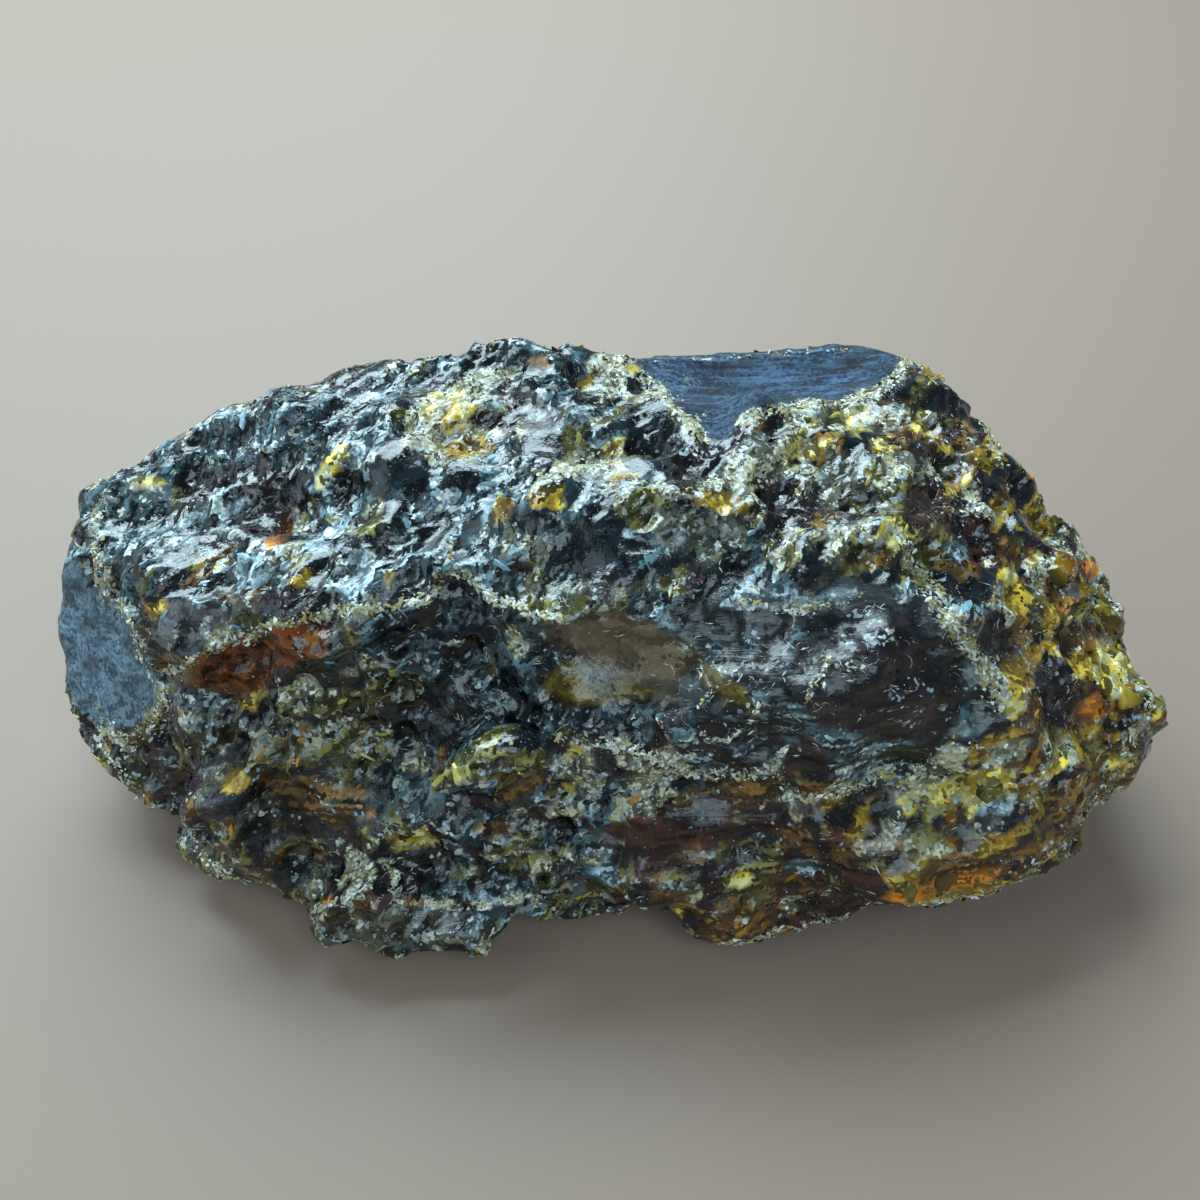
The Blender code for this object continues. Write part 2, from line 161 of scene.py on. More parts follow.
PATCHES = {
    "left shoulder": Patch(TEAL, 124, 527, 28, 36),
    "shoulder yellow": Patch(YELLOW, 147, 484, 13, 8),
    "upper left frost": Patch(FROST_AND_GLINT, 216, 462, 14, 10),
    "upper streaks": Patch(FROST_AND_GLINT, 260, 449, 24, 16, 45),
    "top teal": Patch(TEAL, 300, 440, 90, 40, 10),
    "top streaks": Patch(FROST_AND_GLINT, 262, 447, 25, 14, 45),
    "strip frost": Patch(FROST_AND_GLINT, 358, 460, 14, 22, 20),
    "yellow strip": Patch(YELLOW, 331, 467, 27, 9, 62),
    "block plum": Patch(PLUM, 240, 505, 70, 40, 15),
    "block frost": Patch(FROST_AND_GLINT, 205, 518, 38, 16, 35),
    "block streaks": Patch(FROST_AND_GLINT, 236, 512, 22, 8, 45),
    "block rust": Patch(RUST, 284, 527, 22, 9, 50),
    "block rust band": Patch(HONEY, 208, 566, 34, 8, 40),
    "block rust low": Patch(HONEY, 244, 592, 26, 8, 16),
    "block orange": Patch(ORANGE, 271, 547, 12, 7, 45),
    "block olive": Patch(OLIVE, 193, 562, 6, 16, -20),
    "block yellow": Patch(YELLOW, 222, 564, 8, 5, 20),
    "block white": Patch(FROST_AND_GLINT, 256, 572, 22, 14, 20),
    "block gold": Patch(GOLD, 302, 580, 16, 9, 30),
    "block shade": Patch(PLUM, 290, 598, 40, 12, 8),
    "block brown": Patch(GARNET, 152, 588, 16, 13, 50),
    "block tan": Patch(GOLD, 158, 608, 12, 8, 20),
    "lavender facet": Patch(GREY, 190, 627, 34, 18, 15),
    "block corner": Patch(CREAM, 303, 520, 9, 16),
    "rust window": Patch(RUST, 262, 656, 84, 27, 17),
    "rust window foot": Patch(RUST, 250, 683, 24, 11),
    "rust dark": Patch(PLUM, 296, 674, 20, 9, 14),
    "window orange": Patch(ORANGE, 309, 639, 9, 6, 10),
    "window edge": Patch(HAZE, 339, 637, 9, 24),
    "window ledge": Patch(FROST_AND_GLINT, 202, 701, 28, 10, -5),
    "window ledge yellow": Patch(GOLD, 250, 699, 18, 6),
    "valley frost": Patch(FROST_AND_GLINT, 356, 583, 24, 20, 30),
    "valley olive": Patch(OLIVE, 368, 527, 18, 12, 20),
    "valley orange": Patch(GOLD, 388, 577, 7, 7),
    "knob": Patch(INK, 402, 462, 36, 38, -30),
    "pit cream": Patch(CREAM, 464, 424, 52, 38, 12),
    "pit yellow": Patch(YELLOW, 452, 412, 22, 22),
    "pit gold deep": Patch(GOLD, 454, 418, 13, 15),
    "pit yellow side": Patch(YELLOW, 430, 405, 8, 8),
    "pit garnet": Patch(GARNET, 511, 396, 11, 21, 15),
    "pit garnet foot": Patch(GARNET, 494, 421, 20, 8),
    "pit frost": Patch(FROST_AND_GLINT, 492, 405, 9, 7),
    "pit gold": Patch(GOLD, 470, 446, 34, 10, 5),
    "pit teal": Patch(TEAL, 505, 443, 15, 9),
    "tan chip": Patch(TAN, 538, 363, 12, 6, -10),
    "grey shelf": Patch(GREY, 538, 407, 15, 34, 10),
    "skyline ink": Patch(INK, 452, 374, 36, 10, 25),
    "crust field": Patch(CREAM, 612, 374, 26, 20, -20),
    "pale window blue": Patch(FROST_AND_GLINT, 581, 421, 22, 14, 30),
    "pale window gold": Patch(YELLOW, 596, 456, 32, 15),
    "pale window cream": Patch(CREAM, 590, 466, 40, 14),
    "pale window orange": Patch(GOLD, 612, 452, 14, 9, 30),
    "arc yellow": Patch(GOLD, 630, 473, 28, 6, 20),
    "rim ink": Patch(INK, 655, 440, 26, 34, -25),
    "rim grey": Patch(PLUM, 690, 462, 24, 26),
    "olive glass": Patch(OLIVE, 643, 509, 36, 26, -20),
    "gold hollow": Patch(GOLD, 721, 503, 30, 11, -8),
    "haze field": Patch(HAZE, 704, 534, 52, 28, -10),
    "valley ink": Patch(INK, 596, 545, 36, 34),
    "valley blue": Patch(FROST_AND_GLINT, 631, 534, 7, 6),
    "glint left": Patch(FROST_AND_GLINT, 437, 502, 24, 12, 20),
    "glint middle": Patch(FROST_AND_GLINT, 481, 506, 16, 14, 30),
    "glint low": Patch(FROST_AND_GLINT, 474, 538, 12, 10),
    "small yellow": Patch(YELLOW, 558, 503, 8, 7),
    "small brown": Patch(GARNET, 517, 566, 16, 9, -15),
    "middle teal": Patch(TEAL, 470, 560, 46, 26),
    "white ledge": Patch(FROST_AND_GLINT, 770, 597, 38, 10, -3),
    "white ledge right": Patch(FROST_AND_GLINT, 835, 600, 26, 8, 10),
    "brown crust": Patch(CREAM, 765, 480, 42, 32, -10),
    "brown crust shade": Patch(PLUM, 790, 505, 34, 22, -10),
    "right yellow": Patch(YELLOW, 809, 449, 24, 11, 15),
    "rim yellow": Patch(YELLOW, 856, 418, 11, 17, -20),
    "right tan": Patch(HAZE, 842, 472, 26, 18, 20),
    "crown ink": Patch(INK, 957, 402, 26, 22, -30),
    "crown honey": Patch(HONEY, 908, 431, 20, 11, 10),
    "crown yellow": Patch(YELLOW, 921, 428, 9, 6),
    "glass bead": Patch(OLIVE, 890, 501, 18, 14),
    "garnet window": Patch(GARNET, 933, 506, 27, 24, -20),
    "garnet lower": Patch(GARNET, 981, 541, 20, 26, 20),
    "band yellow": Patch(YELLOW, 896, 533, 11, 8, -30),
    "band olive": Patch(OLIVE, 925, 560, 16, 18),
    "cyan glint": Patch(FROST_AND_GLINT, 957, 549, 11, 14),
    "right ink": Patch(INK, 968, 582, 24, 15),
    "edge gold": Patch(GOLD, 989, 450, 11, 16, -20),
    "margin gold": Patch(GOLD, 1037, 526, 14, 26, 20),
    "margin honey": Patch(HONEY, 1012, 558, 12, 22),
    "margin yellow": Patch(YELLOW, 1008, 575, 9, 10),
    "margin glow": Patch(ORANGE, 1066, 606, 9, 12),
    "margin red": Patch(HONEY, 1052, 590, 18, 22),
    "bead orange": Patch(ORANGE, 1089, 570, 9, 11),
    "bead green": Patch(OLIVE, 1104, 605, 20, 20),
    "tip yellow": Patch(YELLOW, 1115, 664, 24, 28, -20),
    "tip orange": Patch(ORANGE, 1090, 706, 15, 13),
    "tip honey": Patch(HONEY, 1075, 640, 20, 22),
    "tip yellow low": Patch(YELLOW, 1118, 690, 12, 8),
    "right shade": Patch(PLUM, 1050, 690, 24, 30),
    "hollow brown": Patch(BROWN, 626, 650, 64, 32, -14),
    "hollow gold left": Patch(STRAW, 566, 684, 20, 20),
    "hollow gold": Patch(STRAW, 610, 692, 60, 10, -3),
    "golden arm": Patch(STRAW, 720, 684, 50, 9, -38),
    "front orange": Patch(ORANGE, 949, 685, 10, 3, 15),
    "front plum": Patch(PLUM, 880, 680, 90, 60, -10),
    "front frost": Patch(FROST_AND_GLINT, 862, 772, 36, 9, 12),
    "front frost high": Patch(FROST_AND_GLINT, 880, 748, 26, 6, 14),
    "crust clump": Patch(CREAM, 583, 766, 18, 38, 5),
    "clump yellow": Patch(YELLOW, 578, 748, 8, 6),
    "clump yellow low": Patch(YELLOW, 570, 793, 7, 5),
    "crust clump right": Patch(CREAM, 655, 768, 26, 22),
    "oval lump": Patch(OLIVE, 502, 768, 40, 26, -25),
    "oval rim": Patch(HONEY, 520, 790, 24, 8, 30),
    "teal pit": Patch(TEAL, 408, 800, 27, 32),
    "olive leaf": Patch(OLIVE, 378, 696, 30, 16, 25),
    "olive flank": Patch(OLIVE, 336, 750, 54, 26),
    "flank honey": Patch(HONEY, 318, 787, 56, 9, -6),
    "bead gold": Patch(GOLD, 235, 781, 18, 12),
    "bead gold right": Patch(HONEY, 282, 790, 15, 13),
    "flank brown": Patch(HONEY, 306, 814, 46, 18),
    "flank shade": Patch(PLUM, 285, 828, 60, 14),
    "left plum": Patch(PLUM, 184, 790, 36, 26, -30),
    "foot olive": Patch(OLIVE, 225, 856, 22, 11, -20),
    "foot tan": Patch(TAN, 322, 856, 9, 4, 10),
    "foot green": Patch(OLIVE, 300, 845, 20, 12),
    "spark": Patch(ORANGE, 370, 813, 3.5, 3.5),
    "yellow chip": Patch(YELLOW, 418, 842, 21, 9, 15),
    "olive disc": Patch(OLIVE, 514, 858, 19, 17),
    "olive disc top": Patch(HONEY, 498, 827, 22, 8, 15),
    "toe teal": Patch(TEAL, 514, 888, 30, 12),
    "toe honey": Patch(HONEY, 413, 905, 16, 5),
    "toe glow": Patch(ORANGE, 326, 904, 7, 4, 20),
    "toe haze": Patch(HAZE, 400, 936, 84, 20, -4),
    "brown ledge": Patch(HONEY, 722, 794, 50, 10, 6),
    "brown band": Patch(GARNET, 706, 826, 92, 26, 2),
    "band spot": Patch(OLIVE, 740, 817, 6, 6),
    "band spot right": Patch(OLIVE, 751, 843, 8, 6),
    "bottom olive": Patch(OLIVE, 680, 886, 19, 10, -20),
    "bottom gold": Patch(OLIVE, 747, 885, 28, 20, 5),
    "bottom yellow": Patch(YELLOW, 738, 880, 14, 9, 5),
    "bottom frost": Patch(FROST_AND_GLINT, 806, 867, 19, 9, 5),
    "bottom stripe": Patch(OLIVE, 835, 893, 17, 6, 20),
    "lip brown": Patch(HONEY, 742, 928, 52, 14, 8),
    "lip cream": Patch(CREAM, 692, 937, 9, 8),
    "lip dark": Patch(GARNET, 843, 900, 42, 12, 8),
    "right band": Patch(HONEY, 866, 848, 46, 16, -8),
    "golden lip": Patch(GOLD, 917, 886, 32, 22),
    "golden lip orange": Patch(ORANGE, 906, 893, 18, 11),
    "lip right": Patch(HONEY, 968, 872, 56, 18, 12),
    "lip right glow": Patch(ORANGE, 960, 882, 40, 8, 12),
    "lip right edge": Patch(GOLD, 975, 893, 46, 7, 14),
    "yellow field": Patch(YELLOW, 962, 790, 58, 24, 14),
    "field cream": Patch(CREAM, 934, 774, 34, 14, 24),
    "field frost": Patch(FROST_AND_GLINT, 1000, 806, 22, 7, 14),
    "plum field": Patch(PLUM, 990, 824, 40, 11, 8),
    "right gold": Patch(HONEY, 1058, 814, 36, 24, 30),
    "olive round": Patch(OLIVE, 927, 836, 18, 12),
}


@dataclass(frozen=True)
class Area:
    """A round area of the photograph: its middle and half sizes in pixels."""

    u: float
    v: float
    wide: float
    high: float

    def spot(self, draws: np.random.Generator) -> Place:
        """Draw a place inside the area."""
        angle = draws.uniform(0.0, 2.0 * math.pi)
        reach = math.sqrt(draws.uniform())
        u = self.u + self.wide * reach * math.cos(angle)
        return u, self.v + self.high * reach * math.sin(angle)


@dataclass(frozen=True)
class Region(Area):
    """A broad area and the mix of looks that its chips are drawn from."""

    mix: dict[Look, float]


REGIONS = {
    "upper left": Region(240, 490, 190, 90, {TEAL: 44, FROST_AND_GLINT: 11, INK: 22, PLUM: 12, CREAM: 5,
        OLIVE: 6}),
    "top middle": Region(500, 460, 120, 110, {TEAL: 40, FROST_AND_GLINT: 7, CREAM: 4, OLIVE: 12, GOLD: 4,
        INK: 33}),
    "top right": Region(830, 460, 140, 90, {CREAM: 22, OLIVE: 20, YELLOW: 7, HAZE: 16, INK: 16,
        PLUM: 12, HONEY: 7}),
    "right top edge": Region(980, 470, 80, 110, {PLUM: 26, INK: 20, HONEY: 20, OLIVE: 14, CREAM: 8,
        GOLD: 12}),
    "right margin": Region(1075, 680, 90, 160, {HONEY: 20, OLIVE: 16, GOLD: 20, GREY: 8, PLUM: 14,
        CREAM: 16, YELLOW: 6}),
    "middle valley": Region(640, 560, 150, 70, {INK: 36, TEAL: 26, HAZE: 16, FROST_AND_GLINT: 8, OLIVE: 8,
        PLUM: 6}),
    "front left": Region(430, 670, 150, 80, {INK: 56, PLUM: 12, TEAL: 22, OLIVE: 7, CREAM: 3}),
    "front right": Region(830, 680, 200, 90, {INK: 46, PLUM: 20, TEAL: 28, GARNET: 3, FROST_AND_GLINT: 3}),
    "lower left": Region(270, 800, 190, 110, {PLUM: 26, OLIVE: 24, HONEY: 14, INK: 16, HAZE: 14,
        CREAM: 6}),
    "lower middle": Region(500, 870, 110, 90, {TEAL: 20, PLUM: 18, OLIVE: 18, GREY: 6, CREAM: 14,
        INK: 10, FROST_AND_GLINT: 14}),
    "lower right": Region(830, 860, 220, 70, {GARNET: 20, HONEY: 24, PLUM: 26, OLIVE: 18, GOLD: 6,
        CREAM: 6}),
}
UNSEEN_MIXES = (
    {INK: 50, TEAL: 28, PLUM: 18, OLIVE: 4},
    {TEAL: 40, FROST_AND_GLINT: 12, INK: 26, CREAM: 8, OLIVE: 14},
    {PLUM: 36, GARNET: 18, INK: 18, HONEY: 16, HAZE: 12},
    {OLIVE: 34, HONEY: 16, CREAM: 18, PLUM: 20, GOLD: 6, GREY: 6},
)


@dataclass(frozen=True)
class CrustLine:
    """A line of cream crumble along an edge: its corners and half its width, in pixels."""

    corners: tuple[Place, ...]
    wide: float
    strength: float = 1.0

    def stretches(self) -> Path:
        """Give the start of each straight stretch and the step to its end."""
        spots = np.array(self.corners, dtype=float)
        return list(zip(spots, np.diff(spots, axis=0)))


CRUST_LINES = {
    "block brow": CrustLine(((170, 672), (200, 655), (234, 637), (290, 621), (346, 611)), 8),
    "block side": CrustLine(((118, 600), (135, 640), (158, 690), (166, 716)), 9),
    "shoulder": CrustLine(((104, 494), (94, 520), (98, 555), (118, 600)), 8),
    "middle brow": CrustLine(((346, 611), (401, 606), (430, 596), (447, 568), (452, 545)), 7),
    "right brow": CrustLine(((447, 568), (460, 575), (498, 603), (530, 612), (562, 621)), 6),
    "white ledge": CrustLine(((738, 600), (790, 610), (834, 606), (860, 594)), 6),
    "diagonal band": CrustLine(((889, 522), (905, 556), (930, 590), (958, 630), (985, 668),
                                (1000, 700)), 13),
    "channel rim": CrustLine(((612, 348), (636, 371), (669, 397), (692, 420), (707, 440)), 10),
    "channel front": CrustLine(((735, 420), (762, 412), (803, 406), (845, 404), (880, 392)), 8),
    "channel back": CrustLine(((640, 349), (700, 360), (760, 356), (850, 349), (895, 342)), 4.5),
    "channel clump": CrustLine(((654, 358), (664, 370)), 5, 1.6),
    "channel clump low": CrustLine(((682, 374), (690, 384)), 4, 1.6),
    "channel end": CrustLine(((890, 342), (908, 356), (900, 374), (880, 390)), 9),
    "front ledge": CrustLine(((560, 735), (600, 742), (640, 750), (690, 772), (735, 776),
                              (770, 772), (798, 800), (850, 790), (890, 772)), 8),
    "ledge right": CrustLine(((905, 780), (925, 765), (950, 752), (975, 745)), 7, 0.8),
    "skin tip": CrustLine(((98, 706), (112, 730), (135, 744), (162, 718)), 10),
    "left foot": CrustLine(((94, 735), (125, 778), (160, 815), (190, 847), (222, 870),
                            (262, 896)), 6, 0.8),
    "toe line": CrustLine(((313, 912), (361, 896), (400, 902), (453, 905), (500, 902),
                           (539, 896)), 6),
    "toe side": CrustLine(((385, 862), (396, 880), (392, 900)), 6),
    "bottom lip": CrustLine(((655, 925), (690, 946), (744, 941), (798, 926), (854, 916)), 3.5),
    "pit rim": CrustLine(((408, 442), (416, 412), (440, 395), (480, 377), (510, 371)), 7),
    "right margin": CrustLine(((1100, 590), (1126, 620), (1146, 660), (1150, 715), (1124, 760),
                               (1100, 797), (1080, 818)), 10, 0.75),
    "right foot": CrustLine(((893, 906), (933, 904), (976, 896), (1015, 885), (1036, 862),
                             (1076, 838)), 4, 0.8),
    "red field": CrustLine(((880, 440), (905, 470), (930, 474), (960, 500), (1000, 520)), 7, 0.8),
    "crown": CrustLine(((905, 356), (940, 372), (968, 392), (985, 425), (1000, 460)), 6, 0.8),
    "olive rim": CrustLine(((600, 490), (640, 484), (680, 494), (720, 480)), 6, 0.8),
    "front hair": CrustLine(((668, 612), (676, 640), (702, 664), (716, 692), (700, 705)), 3, 0.7),
    "front arc": CrustLine(((696, 724), (708, 738), (728, 742), (742, 728)), 3.5, 0.9),
    "front web": CrustLine(((826, 655), (824, 672), (806, 690)), 4, 0.9),
    "front web low": CrustLine(((788, 745), (776, 762), (768, 776)), 5, 0.9),
    "window vein": CrustLine(((575, 624), (612, 634), (648, 652), (676, 676), (698, 700)), 2.2, 0.9),
    "window edge": CrustLine(((560, 668), (590, 672), (630, 676), (664, 688)), 2.0, 0.8),
    "bulge vein": CrustLine(((700, 622), (740, 628), (790, 640), (820, 652), (850, 668)), 2.2, 0.8),
    "bulge vein low": CrustLine(((850, 668), (884, 660), (912, 668), (940, 676), (975, 668)), 2.6, 0.9),
    "bulge fork": CrustLine(((884, 616), (872, 640), (850, 668)), 1.8, 0.8),
    "bulge drop": CrustLine(((758, 690), (760, 706), (748, 726)), 3.0, 0.9),
    "bulge arc": CrustLine(((912, 640), (940, 652), (962, 676), (958, 690)), 2.0, 0.8),
    "flank vein": CrustLine(((350, 690), (372, 706), (390, 740), (398, 770)), 2.5, 0.7),
    "face vein": CrustLine(((540, 560), (560, 580), (590, 596), (600, 604)), 2.2, 0.8),
    "face vein high": CrustLine(((476, 620), (510, 640), (540, 664)), 1.8, 0.7),
}

SKIN_LEFT = ((77, 555), (84, 572), (104, 594), (116, 608), (134, 633), (148, 660), (160, 690),
             (158, 712), (137, 726), (106, 726), (78, 705), (50, 640), (48, 600))
SKIN_CHANNEL = ((623, 330), (905, 330), (898, 358), (893, 374), (859, 391), (839, 400),
                (803, 400), (762, 404), (741, 410), (732, 432), (720, 438), (707, 436),
                (692, 420), (669, 397), (640, 371))
SKINS = {SLATE: SKIN_LEFT, INDIGO: SKIN_CHANNEL}

# Where the resin shows its flow in level bands: the front right bulge and the foot below it.
FLOW_AREAS = (
    Patch(PLUM, 830, 690, 220, 95, -6),
    Patch(GARNET, 740, 850, 170, 60, 4),
    Patch(HONEY, 960, 865, 130, 45, 14),
    Patch(HONEY, 290, 800, 90, 40, -8),
)


@dataclass(frozen=True)
class VeinField(Area):
    """An area crossed by thin pale veins.

    The number of veins, how they turn in degrees, how far they stray from that turn, and the
    longest in millimetres.
    """

    veins: int
    turn: float
    stray: float
    longest: float


VEIN_FIELDS = {
    "front right": VeinField(850, 680, 180, 80, 270, 4, 24, 1.9),
    "front web": VeinField(740, 680, 100, 70, 150, -20, 50, 1.8),
    "face": VeinField(620, 560, 150, 50, 140, 20, 70, 2.2),
    "front left": VeinField(430, 670, 130, 70, 120, 30, 60, 1.8),
    "upper left": VeinField(240, 500, 150, 80, 260, 50, 26, 1.8),
    "top middle": VeinField(520, 430, 120, 80, 150, 38, 50, 2.0),
    "top right": VeinField(840, 470, 130, 80, 180, 12, 50, 2.2),
    "right margin": VeinField(1060, 650, 70, 160, 180, 70, 50, 2.4),
    "lower left": VeinField(280, 800, 150, 80, 110, -6, 28, 2.2),
    "lower middle": VeinField(480, 860, 110, 60, 140, 10, 50, 2.0),
    "lower right": VeinField(850, 860, 190, 50, 140, 8, 26, 2.4),
}


def cell_random(cells: np.ndarray, seed: int, channel: int) -> np.ndarray:
    """Give each cell of space a number that looks random and is always the same.

    Args:
        cells: Whole-number cell places, in rows of three.
        seed: The number of the field.
        channel: The number of the draw within the field.

    Returns:
        One number from 0 to 1 for each cell.
    """
    mixed = cells[..., 0] * 73856093 ^ cells[..., 1] * 19349663 ^ cells[..., 2] * 83492791
    mixed = (mixed + seed * 265443576 + channel * 40503171) & 0xFFFFFFFF
    for _ in range(2):
        mixed = (((mixed >> 16) ^ mixed) * 0x45D9F3B) & 0xFFFFFFFF
    return ((mixed >> 16) ^ mixed) / 0xFFFFFFFF


def smooth_noise(points: np.ndarray, spacing: float, seed: int) -> np.ndarray:
    """Give a soft random field.

    Args:
        points: Places in millimetres, in rows of three.
        spacing: The size of its waves in millimetres.
        seed: The number of the field.

    Returns:
        One number from -1 to 1 for each point.
    """
    spots = points / spacing
    corner = np.floor(spots).astype(np.int64)
    share = spots - corner
    share = share * share * (3.0 - 2.0 * share)
    total = np.zeros(len(points))
    for step in np.ndindex(2, 2, 2):
        offset = np.array(step)
        weight = np.prod(np.where(offset == 1, share, 1.0 - share), axis=1)
        total += weight * cell_random(corner + offset, seed, 0)
    return total * 2.0 - 1.0


def smooth_step(low: float, high: float, values: np.ndarray) -> np.ndarray:
    """Rise softly from 0 at the low value to 1 at the high one."""
    share = np.clip((values - low) / (high - low), 0.0, 1.0)
    return share * share * (3.0 - 2.0 * share)


def unit(direction: np.ndarray) -> np.ndarray:
    """Give the direction a length of one."""
    return direction / np.linalg.norm(direction, axis=-1, keepdims=True)


@dataclass(frozen=True)
class Bowls:
    """The bowl that is lowest at each point: its height there, its middle and its own draw."""

    height: np.ndarray
    middle: np.ndarray
    draw: np.ndarray


@dataclass(frozen=True)
class Fracture:
    """One scale of shell-shaped breaks, in millimetres, long along a turned direction."""

    spacing: float
    depth: float
    slope: float
    stretch: Triple
    turn: float
    seed: int

    def turned(self, points: np.ndarray, angle: float) -> np.ndarray:
        """Turn places about the upright axis."""
        rows = points.copy()
        rows[:, 0] = math.cos(angle) * points[:, 0] + math.sin(angle) * points[:, 1]
        rows[:, 1] = math.cos(angle) * points[:, 1] - math.sin(angle) * points[:, 0]
        return rows

    def survey(self, points: np.ndarray) -> Bowls:
        """Find the lowest of the overlapping bowls at each point.

        Args:
            points: Places in millimetres, in rows of three.

        Returns:
            The bowls' heights around zero, their middles and one draw from 0 to 1 for each.
        """
        angle = math.radians(self.turn)
        stretch = np.array(self.stretch)
        spots = self.turned(points, angle) * stretch / self.spacing
        corner = np.floor(spots).astype(np.int64)
        curve = 4.0 * self.depth / self.spacing ** 2
        lowest = np.full(len(points), np.inf)
        middle = np.zeros_like(points)
        owner = np.zeros_like(corner)
        for reach in np.ndindex(3, 3, 3):
            cell = corner + np.array(reach) - 1
            draws = [cell_random(cell, self.seed, channel) for channel in range(7)]
            seeds = cell + np.stack(draws[:3], axis=1)
            step = (spots - seeds) * self.spacing
            slopes = (np.stack(draws[3:6], axis=1) - 0.5) * 3.5 * self.slope
            bowl = (draws[6] - 0.5) * self.depth
            bowl = bowl + (step * slopes).sum(axis=1) + curve * (step ** 2).sum(axis=1)
            lower = bowl < lowest
            lowest[lower] = bowl[lower]
            middle[lower] = seeds[lower]
            owner[lower] = cell[lower]
        middle = self.turned(middle * self.spacing / stretch, -angle)
        return Bowls(lowest - lowest.mean(), middle, cell_random(owner, self.seed, 9))


@dataclass(frozen=True)
class PhotoCamera:
    """The camera at the photograph's viewing angle, and its map of the photograph."""

    place: Triple = (0.42 * MM, -122.6 * MM, 137.0 * MM)
    down: float = 42.0
    lens: float = 36.0
    sensor: float = 36.0
    pixels: float = 1200.0

    def build(self) -> None:
        """Make the camera and give it to the scene."""
        data = bpy.data.cameras.new("photo_camera")
        data.lens = self.lens
        data.sensor_width = self.sensor
        data.clip_start = 1.0 * MM
        camera = bpy.data.objects.new("photo_camera", data)
        camera.location = self.place
        camera.rotation_euler = (math.radians(90.0 - self.down), 0.0, 0.0)
        bpy.context.scene.collection.objects.link(camera)
        bpy.context.scene.camera = camera

    def project(self, points: np.ndarray) -> np.ndarray:
        """Find where places show in the photograph.

        Args:
            points: Places in metres, in rows of three.

        Returns:
            Pixel places, in rows of two.
        """
        offset = points - np.array(self.place)
        cosine = math.cos(math.radians(self.down))
        sine = math.sin(math.radians(self.down))
        away = offset[:, 1] * cosine - offset[:, 2] * sine
        rise = offset[:, 1] * sine + offset[:, 2] * cosine
        scale = self.pixels * self.lens / self.sensor / away
        middle = self.pixels / 2.0
        return np.stack([middle + offset[:, 0] * scale, middle - rise * scale], axis=1)

    def way(self, across: float, down: float) -> np.ndarray:
        """Give the direction in space of a step across and down the photograph."""
        angle = math.radians(self.down)
        rise = np.array([0.0, math.sin(angle), math.cos(angle)])
        return unit(np.array([across, 0.0, 0.0]) - down * rise)

    def ray(self, u: float, v: float) -> tuple[Vector, Vector]:
        """Give the line of sight through a pixel.

        Args:
            u: Pixels from the left.
            v: Pixels from the top.

        Returns:
            Where the line starts and the way it runs.
        """
        reach = self.pixels * self.lens / self.sensor
        middle = self.pixels / 2.0
        sight = Vector(((u - middle) / reach, (middle - v) / reach, -1.0))
        sight.rotate(Matrix.Rotation(math.radians(90.0 - self.down), 3, "X"))
        return Vector(self.place), sight.normalized()


class Skin:
    """The working surface: places, outward directions and neighbours of a mesh's points."""

    def __init__(self, mesh: bpy.types.Mesh) -> None:
        """Read the mesh's points and edges."""
        self.mesh = mesh
        self.points = self.read("vertices", "co", 3) / MM
        self.edges = self.read("edges", "vertices", 2).astype(np.int64)
        ends = self.edges.ravel()
        self.degree = np.maximum(np.bincount(ends, minlength=len(self.points)), 1)

    def read(self, part: str, name: str, width: int) -> np.ndarray:
        """Read one property of the mesh as rows."""
        items = getattr(self.mesh, part)
        flat = np.zeros(len(items) * width, dtype=np.int32 if part == "edges" else np.float32)
        items.foreach_get(name, flat)
        rows = flat.reshape(-1, width)
        return rows if part == "edges" else rows.astype(np.float64)

    @property
    def normals(self) -> np.ndarray:
        """The outward direction at each point."""
        return self.read("vertex_normals", "vector", 3)

    def move_to(self, points: np.ndarray) -> None:
        """Put the points at these places, in millimetres."""
        self.points = points
        self.mesh.vertices.foreach_set("co", (points * MM).astype(np.float32).ravel())
        self.mesh.update()

    def averaged(self, values: np.ndarray, rounds: int) -> np.ndarray:
        """Average values over each point and its neighbours, several times.

        Args:
            values: One row or number for each point.
            rounds: How many times to average.

        Returns:
            The averaged values, in the same form.
        """
        rows = values.reshape(len(values), -1).astype(np.float64)
        first, second = self.edges[:, 0], self.edges[:, 1]
        for _ in range(rounds):
            sums = np.empty_like(rows)
            for column in range(rows.shape[1]):
                one = rows[:, column]
                sums[:, column] = np.bincount(first, one[second], len(one))
                sums[:, column] += np.bincount(second, one[first], len(one))
            rows = 0.5 * rows + 0.5 * sums / self.degree[:, None]
        return rows.reshape(values.shape)

    def proudness(self, rounds: int) -> np.ndarray:
        """Say how far each point stands above the averaged surface, around zero and one."""
        above = ((self.points - self.averaged(self.points, rounds)) * self.normals).sum(axis=1)
        return above / above.std()

    def store(self, name: str, values: np.ndarray) -> None:
        """Keep values on the mesh: one number a point, or a colour where rows have three."""
        if values.ndim == 1:
            layer = self.mesh.attributes.new(name, "FLOAT", "POINT")
            layer.data.foreach_set("value", values.astype(np.float32))
            return
        layer = self.mesh.attributes.new(name, "FLOAT_COLOR", "POINT")
        opaque = np.concatenate([values, np.ones((len(values), 1))], axis=1)
        layer.data.foreach_set("color", opaque.astype(np.float32).ravel())


